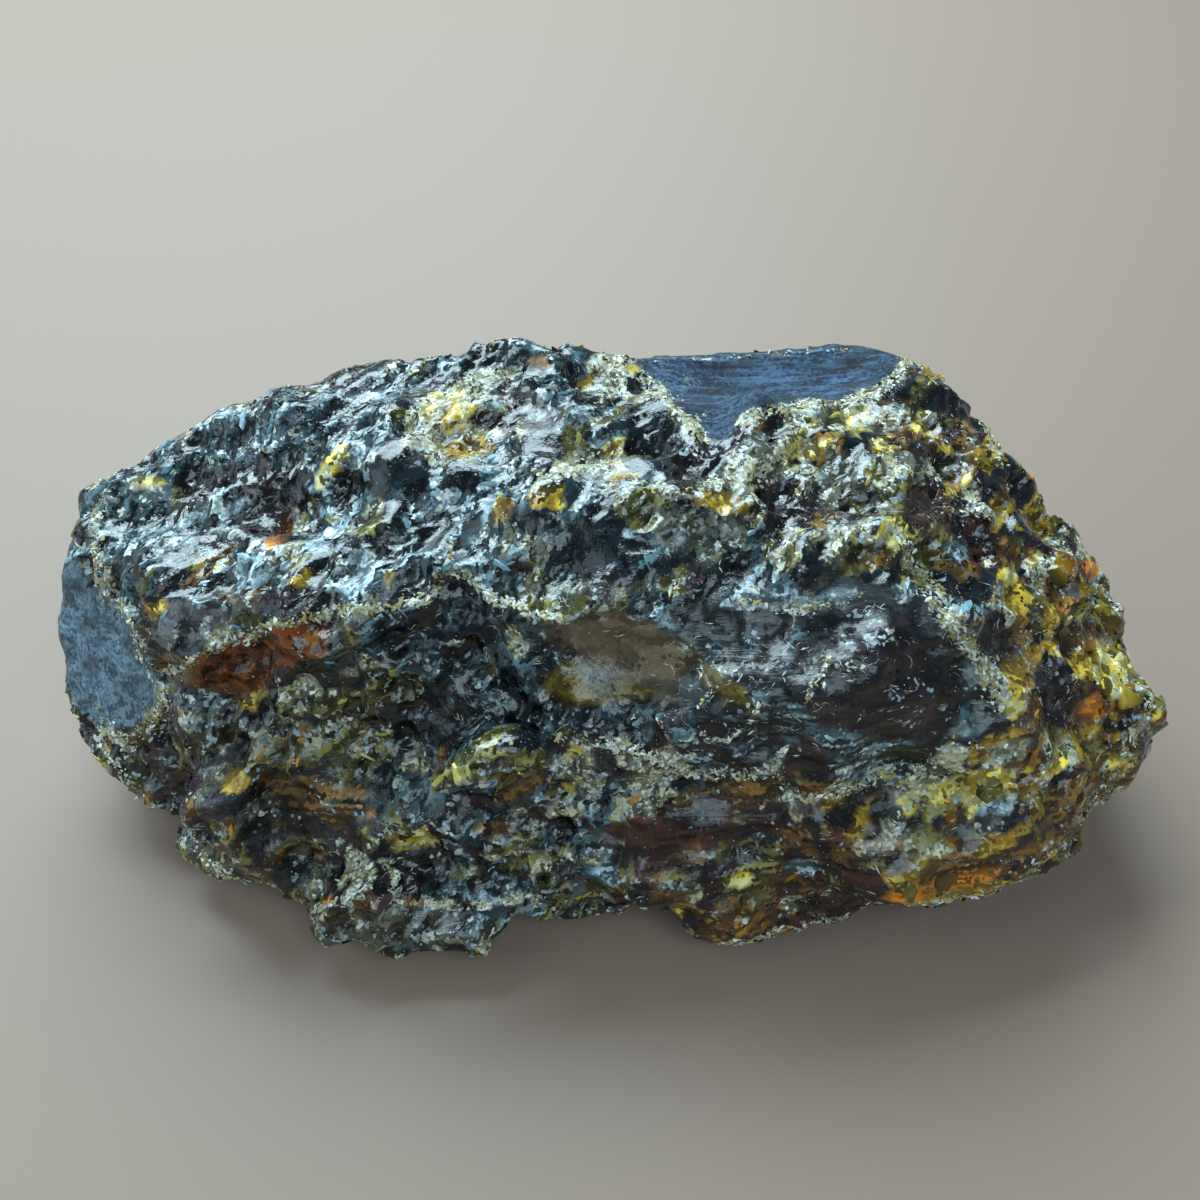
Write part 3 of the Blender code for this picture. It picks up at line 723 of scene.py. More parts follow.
@dataclass
class PatchMap:
    """Where each look lies on the lump, chip by chip, from every side.

    A point's facing is 1 where it looks at the camera and 0 where it is seen edge-on. The facing
    limits say how far past the edge of sight each kind of look reaches.
    """

    camera: PhotoCamera
    chips: Fracture
    patch_facing: float = -0.1
    line_facing: float = -0.2
    skin_facing: float = 0.02
    chip_facing: float = -0.05
    hidden_facing: float = 0.05
    edge_warp: float = 5.0
    edge_wave: float = 3.2
    fine_warp: float = 3.0
    fine_wave: float = 1.1
    soft_edge: float = 0.16
    smooth_edge: float = 0.30
    flow_rough: float = 0.16
    flow_tilt: float = 0.3
    line_crust: float = 0.80
    cream_crust: float = 0.42
    chip_share: float = 0.65
    chip_least: float = 13.0
    depth_room: float = 5.0
    # How dark the painted shade in the hollows is.
    hollow_shade_strength: float = 0.72
    hidden_patches: int = 70
    hidden_wave: float = 2.6
    hidden_smallest: float = 1.4
    hidden_largest: float = 6.0
    hidden_bright_largest: float = 2.6
    unseen_area: float = 13.0
    hidden_seed: int = 41
    hidden_looks: tuple[Look, ...] = (
        OLIVE, HONEY, GOLD, TEAL, PLUM, INK, GARNET,
        CREAM, HAZE, YELLOW, FROST_AND_GLINT, RUST, TEAL, PLUM,
    )
    skin: Skin = field(init=False, repr=False)

    def read_surface(self, skin: Skin) -> None:
        """Take a surface to work on, and find where its points show in the photograph."""
        self.skin = skin
        points = skin.points
        sight = unit(np.array(self.camera.place) / MM - points)
        self.facing = (sight * skin.normals).sum(axis=1)
        self.pixels = self.camera.project(points * MM)
        self.bowls = self.chips.survey(points)
        mixed = self.chip_share * self.bowls.middle + (1.0 - self.chip_share) * points
        coarse = np.stack([smooth_noise(points, self.edge_wave, seed) for seed in (5, 6)], axis=1)
        fine = np.stack([smooth_noise(points, self.fine_wave, seed) for seed in (7, 8)], axis=1)
        warp = self.edge_warp * coarse + self.fine_warp * fine
        self.warped = self.pixels + warp
        self.chipped = self.camera.project(mixed * MM) + warp
        self.tree = BVHTree.FromPolygons(
            [vertex.co.copy() for vertex in skin.mesh.vertices],
            [tuple(face.vertices) for face in skin.mesh.polygons])

    def hit(self, u: float, v: float) -> tuple[np.ndarray, np.ndarray] | None:
        """Find the place and the outward direction on the lump behind a pixel, in millimetres."""
        start, sight = self.camera.ray(u, v)
        place, normal, _, _ = self.tree.ray_cast(start, sight)
        if place is None:
            return None
        return np.array(place) / MM, np.array(normal)

    def on_grey_skin(self, place: np.ndarray) -> bool:
        """Say whether the grey skin is left at a place, in millimetres."""
        pixel = self.camera.project(place[None] * MM)
        return any(self.inside(outline, pixel)[0] for outline in SKINS.values())

    def patch_share(self, patch: Patch) -> np.ndarray:
        """Say how much of a patch each point has, from 0 outside to 1 inside.

        Args:
            patch: The patch, in pixels of the photograph.

        Returns:
            One number for each point.
        """
        found = self.hit(patch.u, patch.v)
        if found is None:
            return np.zeros(len(self.skin.points))
        smooth = patch.look in SMOOTH_LOOKS
        whole_chips = min(patch.wide, patch.high) >= self.chip_least and not smooth
        soft_edge = self.smooth_edge if smooth else self.soft_edge
        offset = (self.chipped if whole_chips else self.warped) - np.array([patch.u, patch.v])
        angle = math.radians(patch.turn)
        along = offset[:, 0] * math.cos(angle) - offset[:, 1] * math.sin(angle)
        across = offset[:, 0] * math.sin(angle) + offset[:, 1] * math.cos(angle)
        reach = np.hypot(along / patch.wide, across / patch.high)
        share = smooth_step(1.0 + soft_edge, 1.0 - soft_edge, reach)
        away = np.linalg.norm(found[0] - np.array(self.camera.place) / MM)
        pixel_size = away / self.camera.pixels
        room = max(patch.wide, patch.high) * pixel_size * 1.5 + self.depth_room
        gap = np.linalg.norm(self.skin.points - found[0], axis=1)
        return share * (gap < room) * (self.facing > self.patch_facing)

    def line_share(self, line: CrustLine) -> np.ndarray:
        """Say how near each point is to a line, from 1 on it to 0 past its width."""
        nearest = np.full(len(self.warped), np.inf)
        for start, run in line.stretches():
            share = np.clip((self.warped - start) @ run / (run @ run), 0.0, 1.0)
            gap = np.linalg.norm(self.warped - start - share[:, None] * run, axis=1)
            nearest = np.minimum(nearest, gap)
        near = np.clip(1.35 - nearest / line.wide, 0.0, 1.0)
        return near * line.strength * (self.facing > self.line_facing)

    def lines_share(self) -> np.ndarray:
        """Say how much of any crust line each point has, broken up along the lines."""
        share = np.zeros(len(self.skin.points))
        for line in CRUST_LINES.values():
            if line.wide >= THIN_LINE:
                share = np.maximum(share, self.line_share(line))
        gaps = 0.75 + 0.55 * smooth_noise(self.skin.points, 2.4, 17)
        return share * np.clip(gaps, 0.0, 1.0)

    def inside(self, outline: tuple[Place, ...], pixels: np.ndarray) -> np.ndarray:
        """Say which pixel places lie inside an outline."""
        within = np.zeros(len(pixels), dtype=bool)
        corners = np.array(outline, dtype=float)
        for first, second in zip(corners, np.roll(corners, -1, axis=0)):
            crosses = (first[1] > pixels[:, 1]) != (second[1] > pixels[:, 1])
            rise = second[1] - first[1] if second[1] != first[1] else 1e-9
            edge = first[0] + (pixels[:, 1] - first[1]) * (second[0] - first[0]) / rise
            within ^= crosses & (pixels[:, 0] < edge)
        return within

    def skin_share(self) -> np.ndarray:
        """Say where the grey skin is left: one on it, falling to nothing over its edge."""
        light_warp = self.pixels + 0.6 * (self.warped - self.pixels)
        share = np.zeros(len(self.pixels))
        for outline in SKINS.values():
            seen = self.facing > self.skin_facing
            share = np.maximum(share, self.inside(outline, light_warp) * seen)
        return self.skin.averaged(share, 2)

    def flow_share(self, rounds: int) -> np.ndarray:
        """Say where the resin lies in level bands, softened at the edges."""
        share = np.zeros(len(self.pixels))
        for area in FLOW_AREAS:
            share = np.maximum(share, self.patch_share(area))
        return self.skin.averaged(share, rounds)

    def compose(self, skin: Skin) -> dict[str, np.ndarray]:
        """Work out every look on a surface.

        Args:
            skin: The surface.

        Returns:
            The values to keep on the mesh, by name.
        """
        self.read_surface(skin)
        count = len(skin.points)
        values = {name: np.zeros((count, 3)) for name in ("tint", "second")}
        values |= {name: np.zeros(count) for name in (*TONE_SHARES, "crumble")}
        self.lay_chips(values)
        for patch in PATCHES.values():
            self.lay(values, patch.look, self.patch_share(patch))
        for look, share in self.hidden_shares():
            self.lay(values, look, share)
        fine = skin.proudness(3)
        broad = skin.proudness(24)
        self.paint_hollow_shade_and_edge_light(values, fine, broad)
        for look, outline in SKINS.items():
            near = self.inside(outline, self.warped) * (self.facing > self.patch_facing)
            self.dress(values, look, skin.averaged(near, 3) > 0.15)
        values["skin"] = self.skin_share()
        values["crust"] = self.crust_share(values.pop("crumble"), fine, broad)
        values["flow"] = self.flow_share(6)
        values["tilt"] *= 1.0 - self.flow_tilt * values["flow"]
        values["rough"] += self.flow_rough * values["flow"]
        return values

    def paint_hollow_shade_and_edge_light(self, values: dict[str, np.ndarray], fine: np.ndarray, broad: np.ndarray) -> None:
        """Darken the hollows with painted shade, lighten the proud parts with painted light, and
        crumble the proud edges with more pale fragments.

        Args:
            values: The looks, which are changed.
            fine: How far each point stands above its close neighbours.
            broad: How far each point stands above its wider neighbours.
        """
        # Painted shade and light: the tints darken in the hollows and brighten on the proud parts, less
        # so on bright looks.
        hollow = np.clip(-0.30 * fine - 0.42 * broad, -0.6, 1.0)
        bright = smooth_step(0.03, 0.12, values["tint"].mean(axis=1))
        depth = self.hollow_shade_strength * (1.0 - 0.75 * bright)
        shade = 1.0 - np.where(hollow > 0.0, depth, 0.5) * hollow
        for name in ("tint", "second"):
            values[name] *= shade[:, None]
        values["pale"] += 0.16 * smooth_step(0.4, 2.2, fine)
        values["pale"] *= 1.0 - 0.7 * smooth_step(0.0, 1.4, -broad)

    def lay_chips(self, values: dict[str, np.ndarray]) -> None:
        """Give every chip a look drawn from the mix of its region."""
        pixels = self.camera.project(self.bowls.middle * MM)
        near = []
        for region in REGIONS.values():
            offset = pixels - np.array([region.u, region.v])
            near.append(((offset / np.array([region.wide, region.high])) ** 2).sum(axis=1))
        chosen = np.argmin(np.stack(near), axis=0)
        hidden = self.facing < self.chip_facing
        broad = smooth_noise(self.bowls.middle, self.unseen_area, 23)
        kind = np.clip((broad * 1.7 + 1.0) / 2.0 * len(UNSEEN_MIXES), 0, len(UNSEEN_MIXES) - 1)
        chosen[hidden] = len(near) + kind[hidden].astype(int)
        mixes = [region.mix for region in REGIONS.values()] + list(UNSEEN_MIXES)
        for number, mix in enumerate(mixes):
            total = sum(mix.values())
            low = 0.0
            for look, part in mix.items():
                high = low + part / total
                taken = (chosen == number) & (self.bowls.draw >= low) & (self.bowls.draw <= high)
                self.dress(values, look, taken)
                low = high

    def dress(self, values: dict[str, np.ndarray], look: Look, taken: np.ndarray) -> None:
        """Give the taken points one look."""
        tone = TONES[look]
        values["tint"][taken] = tone.first
        values["second"][taken] = tone.second
        for name in TONE_SHARES:
            values[name][taken] = getattr(tone, name)
        values["crumble"][taken] = 1.0 if look is CREAM else 0.0

    def lay(self, values: dict[str, np.ndarray], look: Look, share: np.ndarray) -> None:
        """Lay one look over those already there, softly where its resin is smooth."""
        if look not in SMOOTH_LOOKS:
            self.dress(values, look, share > 0.5)
            return
        tone = TONES[look]
        for name, value in (("tint", tone.first), ("second", tone.second)):
            values[name] += share[:, None] * (np.array(value) - values[name])
        for name in TONE_SHARES:
            values[name] += share * (getattr(tone, name) - values[name])
        values["crumble"] *= share < 0.5

    def hidden_shares(self) -> list[tuple[Look, np.ndarray]]:
        """Scatter patches over the sides that the photograph doesn't show.

        Returns:
            A look and its share at each point, for each scattered patch.
        """
        draws = np.random.default_rng(self.hidden_seed)
        points = self.skin.points
        hidden = np.flatnonzero((self.facing < self.patch_facing) & (points[:, 2] > 1.0))
        mixed = self.chip_share * self.bowls.middle + (1.0 - self.chip_share) * points
        warp = [smooth_noise(points, self.hidden_wave, seed) for seed in (11, 12, 13)]
        mixed = mixed + np.stack(warp, axis=1)
        found = []
        for _ in range(self.hidden_patches):
            middle = points[draws.choice(hidden)]
            look = self.hidden_looks[draws.integers(len(self.hidden_looks))]
            bright = look in (YELLOW, FROST_AND_GLINT, CREAM)
            size = draws.uniform(self.hidden_smallest,
                                 self.hidden_bright_largest if bright else self.hidden_largest)
            sizes = size * np.array([draws.uniform(1.0, 2.0), 1.0, 1.0])
            reach = np.linalg.norm((mixed - middle) / sizes, axis=1)
            found.append((look, (reach < 1.0) * (self.facing < self.hidden_facing) * 1.0))
        return found

    def crust_share(self, crumble: np.ndarray, fine: np.ndarray,
                    broad: np.ndarray) -> np.ndarray:
        """Say how crumbly and cream each point is.

        Args:
            crumble: One in the cream patches and zero elsewhere.
            fine: How far each point stands above its close neighbours.
            broad: How far each point stands above its wider neighbours.

        Returns:
            The share of crust: along the crust lines, on cream patches and on proud edges.
        """
        web = np.clip(0.50 + 0.9 * smooth_noise(self.skin.points, 5.0, 19), 0.1, 1.0)
        edges = smooth_step(1.0, 2.6, fine) * 0.52 * web + smooth_step(1.0, 3.0, broad) * 0.20
        share = np.maximum(self.lines_share() * self.line_crust, crumble * self.cream_crust)
        return np.clip(np.maximum(share, edges) + 0.15 * edges, 0.0, 1.0)


@dataclass
class LumpForm:
    """The lump's fine skin, carved from a copy of the solid."""

    camera: PhotoCamera
    voxel: float = 0.50
    soften_rounds: int = 4
    skin_rounds: int = 26
    triangles: int = 192000
    floor_gap: float = 0.02
    peak: float = 0.25
    sharp: float = 34.0
    flow_calm: float = 0.60
    patch_calm: float = 0.8
    calm_patches: tuple[str, ...] = ("knob", "hollow brown", "hollow gold", "valley ink")
    band_stretch: Triple = (0.06, 0.45, 0.80)
    band_depth: float = 0.30
    breaks: Fracture = Fracture(5.2, 0.80, 0.15, (0.62, 1.0, 1.0), 56.0, 31)
    chips: Fracture = Fracture(2.4, 0.40, 0.24, (0.50, 1.0, 1.0), 62.0, 37)
    crumbs: Fracture = Fracture(1.15, 0.08, 0.14, (0.70, 1.0, 1.0), 50.0, 43)
    looks: PatchMap = field(init=False, repr=False)
    values: dict[str, np.ndarray] = field(init=False, repr=False)

    def build(self, solid: bpy.types.Object) -> bpy.types.Object:
        """Make the fine skin as a new object.

        Args:
            solid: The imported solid, which stays as it is.

        Returns:
            The new object, with its looks kept on its mesh.
        """
        lump = bpy.data.objects.new("amber_surface", solid.data.copy())
        bpy.context.scene.collection.objects.link(lump)
        lump.data.materials.clear()
        self.settle(lump, "REMESH", mode="VOXEL", voxel_size=self.voxel * MM)
        LOG.info("fine skin: %d points after the remesh", len(lump.data.vertices))
        skin = Skin(lump.data)
        self.soften(skin)
        self.carve(skin)
        faces = sum(len(face.vertices) - 2 for face in lump.data.polygons)
        self.settle(lump, "DECIMATE", ratio=min(1.0, self.triangles / faces))
        skin = Skin(lump.data)
        self.looks = PatchMap(self.camera, self.chips)
        self.values = self.looks.compose(skin)
        for name, values in self.values.items():
            skin.store(name, values)
        lump.data.shade_smooth()
        lump.data.set_sharp_from_angle(angle=math.radians(self.sharp))
        return lump

    def settle(self, thing: bpy.types.Object, kind: str, **options: object) -> None:
        """Run one modifier and keep its result as the object's own mesh."""
        step = thing.modifiers.new(kind.lower(), kind)
        for name, value in options.items():
            setattr(step, name, value)
        bpy.context.view_layer.update()
        graph = bpy.context.evaluated_depsgraph_get()
        before = thing.data
        after = bpy.data.meshes.new_from_object(thing.evaluated_get(graph))
        thing.modifiers.clear()
        thing.data = after
        after.name = thing.name
        bpy.data.meshes.remove(before)

    def soften(self, skin: Skin) -> None:
        """Round off the solid's flat faces, but keep the flat spot."""
        smooth = skin.averaged(skin.points, self.soften_rounds)
        low = skin.points[:, 2] < FOOT_HEIGHT
        smooth[low, 2] = skin.points[low, 2]
        skin.move_to(smooth)

    def carve(self, skin: Skin) -> None:
        """Break the skin into shell-shaped chips, calm on the grey skin and smooth resin."""
        layers = PatchMap(self.camera, self.chips)
        layers.read_surface(skin)
        grey = layers.skin_share()
        calm = grey.copy()
        for name in self.calm_patches:
            calm = np.maximum(calm, self.patch_calm * layers.patch_share(PATCHES[name]))
        flow = layers.flow_share(4)
        near_grey = smooth_step(0.0, 0.35, skin.averaged(grey, 9))
        rough = 1.0 - np.maximum(skin.averaged(calm, 2), near_grey)
        normals = skin.normals
        height = self.breaks.survey(skin.points).height + layers.bowls.height
        height = height + self.crumbs.survey(skin.points).height
        height = np.where(height > 0.0, self.peak * np.tanh(height / self.peak), height)
        height = height * rough * (1.0 - self.flow_calm * flow)
        bands = smooth_noise(skin.points * np.array(self.band_stretch), 1.0, 61)
        height = height + self.band_depth * bands * flow
        crumble = 0.14 + 0.22 * smooth_noise(skin.points, 0.9, 51)
        height = height + layers.lines_share() * rough * crumble
        flat = skin.averaged(skin.points, self.skin_rounds) - skin.points
        moved = skin.points + height[:, None] * normals + flat * (1.0 - rough)[:, None]
        low = skin.points[:, 2] < FOOT_HEIGHT
        moved[low] = skin.points[low]
        moved[:, 2] = np.maximum(moved[:, 2], self.floor_gap)
        skin.move_to(moved)


@dataclass(frozen=True)
class Seat:
    """Where a loose piece sits: its place in millimetres, the way out and its long way."""

    place: np.ndarray
    out: np.ndarray
    along: np.ndarray

    def basis(self, draws: np.random.Generator, sway: float) -> np.ndarray:
        """Give the piece's own ways, swayed at random.

        Args:
            draws: The random draws.
            sway: How far the outward way leans, as a share of its length.

        Returns:
            The long, cross and outward ways, in rows.
        """
        out = unit(self.out + sway * draws.normal(size=3))
        along = self.along + LONG_WAY_SWAY * draws.normal(size=3)
        along = unit(along - out * float(along @ out))
        return np.stack([along, np.cross(out, along), out])


class Heap:
    """Many small pieces joined in one mesh, each with its own colour."""

    def __init__(self) -> None:
        """Start with no pieces."""
        self.points: list[np.ndarray] = []
        self.faces: list[tuple[int, ...]] = []
        self.colours: list[np.ndarray] = []
        self.count = 0

    def add(self, points: np.ndarray, faces: list[tuple[int, ...]], colour: np.ndarray) -> None:
        """Add one piece, with its points in millimetres."""
        self.faces += [tuple(corner + self.count for corner in face) for face in faces]
        self.points.append(points)
        self.colours.append(np.broadcast_to(colour, points.shape))
        self.count += len(points)

    def build(self, name: str, finish: bpy.types.Material, smooth: bool) -> bpy.types.Object:
        """Join the pieces.

        Args:
            name: The name of the joined piece.
            finish: Its material.
            smooth: Whether it is shaded smooth.

        Returns:
            The new object, which rides with the lump.
        """
        mesh = bpy.data.meshes.new(name)
        mesh.from_pydata((np.concatenate(self.points) * MM).tolist(), [], self.faces)
        Skin(mesh).store("tint", np.concatenate(self.colours))
        if smooth:
            mesh.shade_smooth()
            mesh.set_sharp_from_angle(angle=math.radians(PIECE_SHARP))
        mesh.materials.append(finish)
        thing = bpy.data.objects.new(name, mesh)
        bpy.context.scene.collection.objects.link(thing)
        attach(thing, "root")
        LOG.info("%s: %d faces", name, len(self.faces))
        return thing


@dataclass
class SmallPieces:
    """Small pieces of one kind on the lump, joined in one mesh."""

    lump: LumpForm
    name: ClassVar[str]
    seed: ClassVar[int]
    smooth: ClassVar[bool] = False

    def build(self, finish: bpy.types.Material) -> bpy.types.Object:
        """Draw the pieces and join them.

        Args:
            finish: Their material.

        Returns:
            The joined object.
        """
        heap = Heap()
        self.fill(heap, np.random.default_rng(self.seed))
        return heap.build(self.name, finish, self.smooth)

    def fill(self, heap: Heap, draws: np.random.Generator) -> None:
        """Add every piece to the heap."""
        raise NotImplementedError


def ball_shape(rounds: int) -> tuple[np.ndarray, list[tuple[int, ...]]]:
    """Give the points and faces of a ball of triangles."""
    form = bmesh.new()
    bmesh.ops.create_icosphere(form, subdivisions=rounds, radius=1.0)
    points = np.array([vertex.co for vertex in form.verts])
    faces = [tuple(corner.index for corner in face.verts) for face in form.faces]
    form.free()
    return points, faces


@dataclass
class CrumbTrail(SmallPieces):
    """Cream crumbs along the crust lines, on cream patches and on crumbly edges."""

    name: ClassVar[str] = "crust_crumbs"
    seed: ClassVar[int] = 71
    step: float = 1.9
    clump_step: float = 9.0
    clump_half: float = 6.0
    field_crumbs: int = 3200
    smallest: float = 0.055
    largest: float = 0.26
    tones: tuple[Colour, ...] = (
        (0.92, 0.92, 0.80), (0.80, 0.88, 0.86), (0.60, 0.52, 0.20), (0.10, 0.12, 0.12),
        (0.66, 0.44, 0.06),
    )
    tone_shares: tuple[float, ...] = (0.38, 0.16, 0.22, 0.18, 0.06)

    def line_seats(self, draws: np.random.Generator) -> list[Seat]:
        """Find seats in clumps along the crust lines.

        Args:
            draws: The random draws.

        Returns:
            The seats, with their long way along the line.
        """
        seats = []
        wide_lines = [line for line in CRUST_LINES.values() if line.wide > THIN_LINE]
        for line, start, run in ((line, *part) for line in wide_lines for part in line.stretches()):
            reach = math.hypot(*run)
            count = int(reach / self.step * (0.4 + 0.13 * line.wide) * line.strength)
            clump = draws.uniform(size=max(1, int(reach / self.clump_step)))
            for _ in range(count):
                share = draws.choice(clump) + self.clump_half / reach * draws.normal()
                spread = draws.normal(size=2) * (0.34 * line.wide + 0.5)
                found = self.lump.looks.hit(*(start + share * run + spread))
                if found is not None:
                    way = self.lump.camera.way(*run)
                    seats.append(Seat(*found, way + 0.4 * draws.normal(size=3)))
        return seats

    def field_seats(self, draws: np.random.Generator) -> list[Seat]:
        """Find seats on crumbly places all round the lump.

        Args:
            draws: The random draws.

        Returns:
            The seats, with their long way anyhow.
        """
        skin = self.lump.looks.skin
        normals = skin.normals
        weight = np.clip(self.lump.values["crust"] - 0.25, 0.0, 1.0) * (skin.points[:, 2] > 0.6)
        weight *= 1.0 - self.lump.values["skin"]
        chosen = draws.choice(len(weight), self.field_crumbs, p=weight / weight.sum())
        return [Seat(skin.points[k], normals[k], draws.normal(size=3)) for k in chosen]

    def fill(self, heap: Heap, draws: np.random.Generator) -> None:
        """Lay the crumbs: dented balls, flattened and drawn out.

        Args:
            heap: What the crumbs are added to.
            draws: The random draws.
        """
        ball, faces = ball_shape(1)
        tones = np.array(self.tones)
        for seat in self.line_seats(draws) + self.field_seats(draws):
            size = self.smallest + (self.largest - self.smallest) * draws.uniform() ** 3.0
            ways = seat.basis(draws, 0.5)
            form = ball * (1.0 + 0.28 * draws.normal(size=(len(ball), 1)))
            form = form * np.array([draws.uniform(0.9, 3.0), 1.0, draws.uniform(0.4, 0.8)]) * size
            place = seat.place + seat.out * size * 0.15
            place[2] = max(place[2], size * FLOOR_CLEAR)
            tone = tones[draws.choice(len(tones), p=self.tone_shares)] * draws.uniform(0.55, 1.1)
            heap.add(place + form @ ways, faces, tone)


@dataclass
class VeinWeb(SmallPieces):
    """Thin pale threads of crust: along the crust lines, over the faces and on unseen sides."""

    name: ClassVar[str] = "pale_veins"
    seed: ClassVar[int] = 59
    step: float = 0.30
    thinnest: float = 0.03
    thickest: float = 0.14
    clump_share: int = 9
    clump_reach: float = 11.0
    unseen: int = 700
    thread_length: float = 24.0
    tones: tuple[Colour, ...] = (
        (0.72, 0.84, 0.88), (0.86, 0.87, 0.76), (0.62, 0.56, 0.26), (0.34, 0.44, 0.48),
    )
    tone_shares: tuple[float, ...] = (0.36, 0.30, 0.18, 0.16)

    def walk(self, place: np.ndarray, heading: np.ndarray, length: float,
             draws: np.random.Generator) -> Path:
        """Wander over the lump from a place.

        Args:
            place: Where to start, in millimetres.
            heading: The way to go at first.
            length: How far to go, in millimetres.
            draws: The random draws.

        Returns:
            The places passed and the outward direction at each.
        """
        path = []
        bend = draws.normal() * 0.10
        for _ in range(max(4, int(length / self.step))):
            found = self.lump.looks.tree.find_nearest(Vector(place * MM))
            place, out = np.array(found[0]) / MM, np.array(found[1])
            path.append((place, out))
            bend = 0.5 * bend + 0.24 * draws.normal()
            heading = heading + bend * np.cross(out, heading) + 0.16 * draws.normal(size=3)
            heading = unit(heading - out * float(heading @ out))
            place = place + heading * self.step
        return path

    def follow(self, line: CrustLine, draws: np.random.Generator) -> list[Path]:
        """Run threads along a crust line, each over a part of one stretch of it.

        Args:
            line: The crust line.
            draws: The random draws.

        Returns:
            The threads' paths.
        """
        paths = []
        for start, run in line.stretches():
            heading = self.lump.camera.way(*run)
            many = math.hypot(*run) * (1.2 + 0.42 * line.wide) * line.strength
            for _ in range(max(2, round(many / self.thread_length))):
                share = draws.uniform(-0.1, 0.95)
                stray = draws.normal(size=2) * (0.30 * line.wide + 0.4)
                found = self.lump.looks.hit(*(start + share * run + stray))
                if found is not None:
                    length = draws.uniform(1.0, 3.2)
                    way = heading + 0.25 * draws.normal(size=3)
                    paths.append(self.walk(found[0], way, length, draws))
        return paths

    def scatter(self, draws: np.random.Generator) -> list[Path]:
        """Run threads in clumps over the faces, and singly over the sides out of sight.

        Args:
            draws: The random draws.

        Returns:
            The threads' paths.
        """
        paths = []
        looks = self.lump.looks
        for area in VEIN_FIELDS.values():
            for number in range(area.veins):
                if number % self.clump_share == 0:
                    clump = np.array(area.spot(draws))
                    clump_turn = area.turn + area.stray * draws.normal()
                along = self.clump_reach * draws.normal()
                turn = math.radians(clump_turn)
                spot = clump + along * np.array([math.cos(turn), -math.sin(turn)])
                found = looks.hit(*(spot + 1.8 * draws.normal(size=2)))
                turn = math.radians(clump_turn + 20.0 * draws.normal())
                heading = self.lump.camera.way(math.cos(turn), -math.sin(turn))
                length = area.longest * draws.uniform(0.25, 1.0)
                if found is not None:
                    paths.append(self.walk(found[0], heading, length, draws))
        hidden = np.flatnonzero((looks.facing < 0.0) & (looks.skin.points[:, 2] > 2.0))
        for k in draws.choice(hidden, self.unseen):
            paths.append(self.walk(looks.skin.points[k], draws.normal(size=3),
                                   draws.uniform(1.0, 4.5), draws))
        return paths

    def fill(self, heap: Heap, draws: np.random.Generator) -> None:
        """Lay the threads: three-sided ridges of uneven width, tapered at both ends.

        Args:
            heap: What the threads are added to.
            draws: The random draws.
        """
        paths = [path for line in CRUST_LINES.values() for path in self.follow(line, draws)]
        tones = np.array(self.tones)
        for path in paths + self.scatter(draws):
            places, outs = (np.array(rows) for rows in zip(*path))
            if self.lump.looks.on_grey_skin(places[len(places) // 2]) or places[:, 2].min() < 0.6:
                continue
            side = np.cross(outs, np.gradient(places, axis=0))
            side = side / np.maximum(np.linalg.norm(side, axis=1, keepdims=True), 1e-6)
            count = len(path)
            taper = np.sin(np.linspace(0.12, math.pi - 0.12, count)) ** 0.6
            wide = self.thinnest + (self.thickest - self.thinnest) * draws.uniform() ** 2.0
            wide = (wide * taper * draws.uniform(0.15, 1.5, count))[:, None]
            foot = places - 0.04 * outs
            rows = np.concatenate([foot - side * wide, places + outs * wide * 0.6,
                                   foot + side * wide])
            faces = [(0, count, 2 * count), (count - 1, 3 * count - 1, 2 * count - 1)]
            for k in range(count - 1):
                for one, other in ((0, count), (count, 2 * count), (2 * count, 0)):
                    faces.append((one + k, one + k + 1, other + k + 1, other + k))
            tone = tones[draws.choice(len(tones), p=self.tone_shares)] * draws.uniform(0.35, 1.0)
            heap.add(rows, faces, tone)


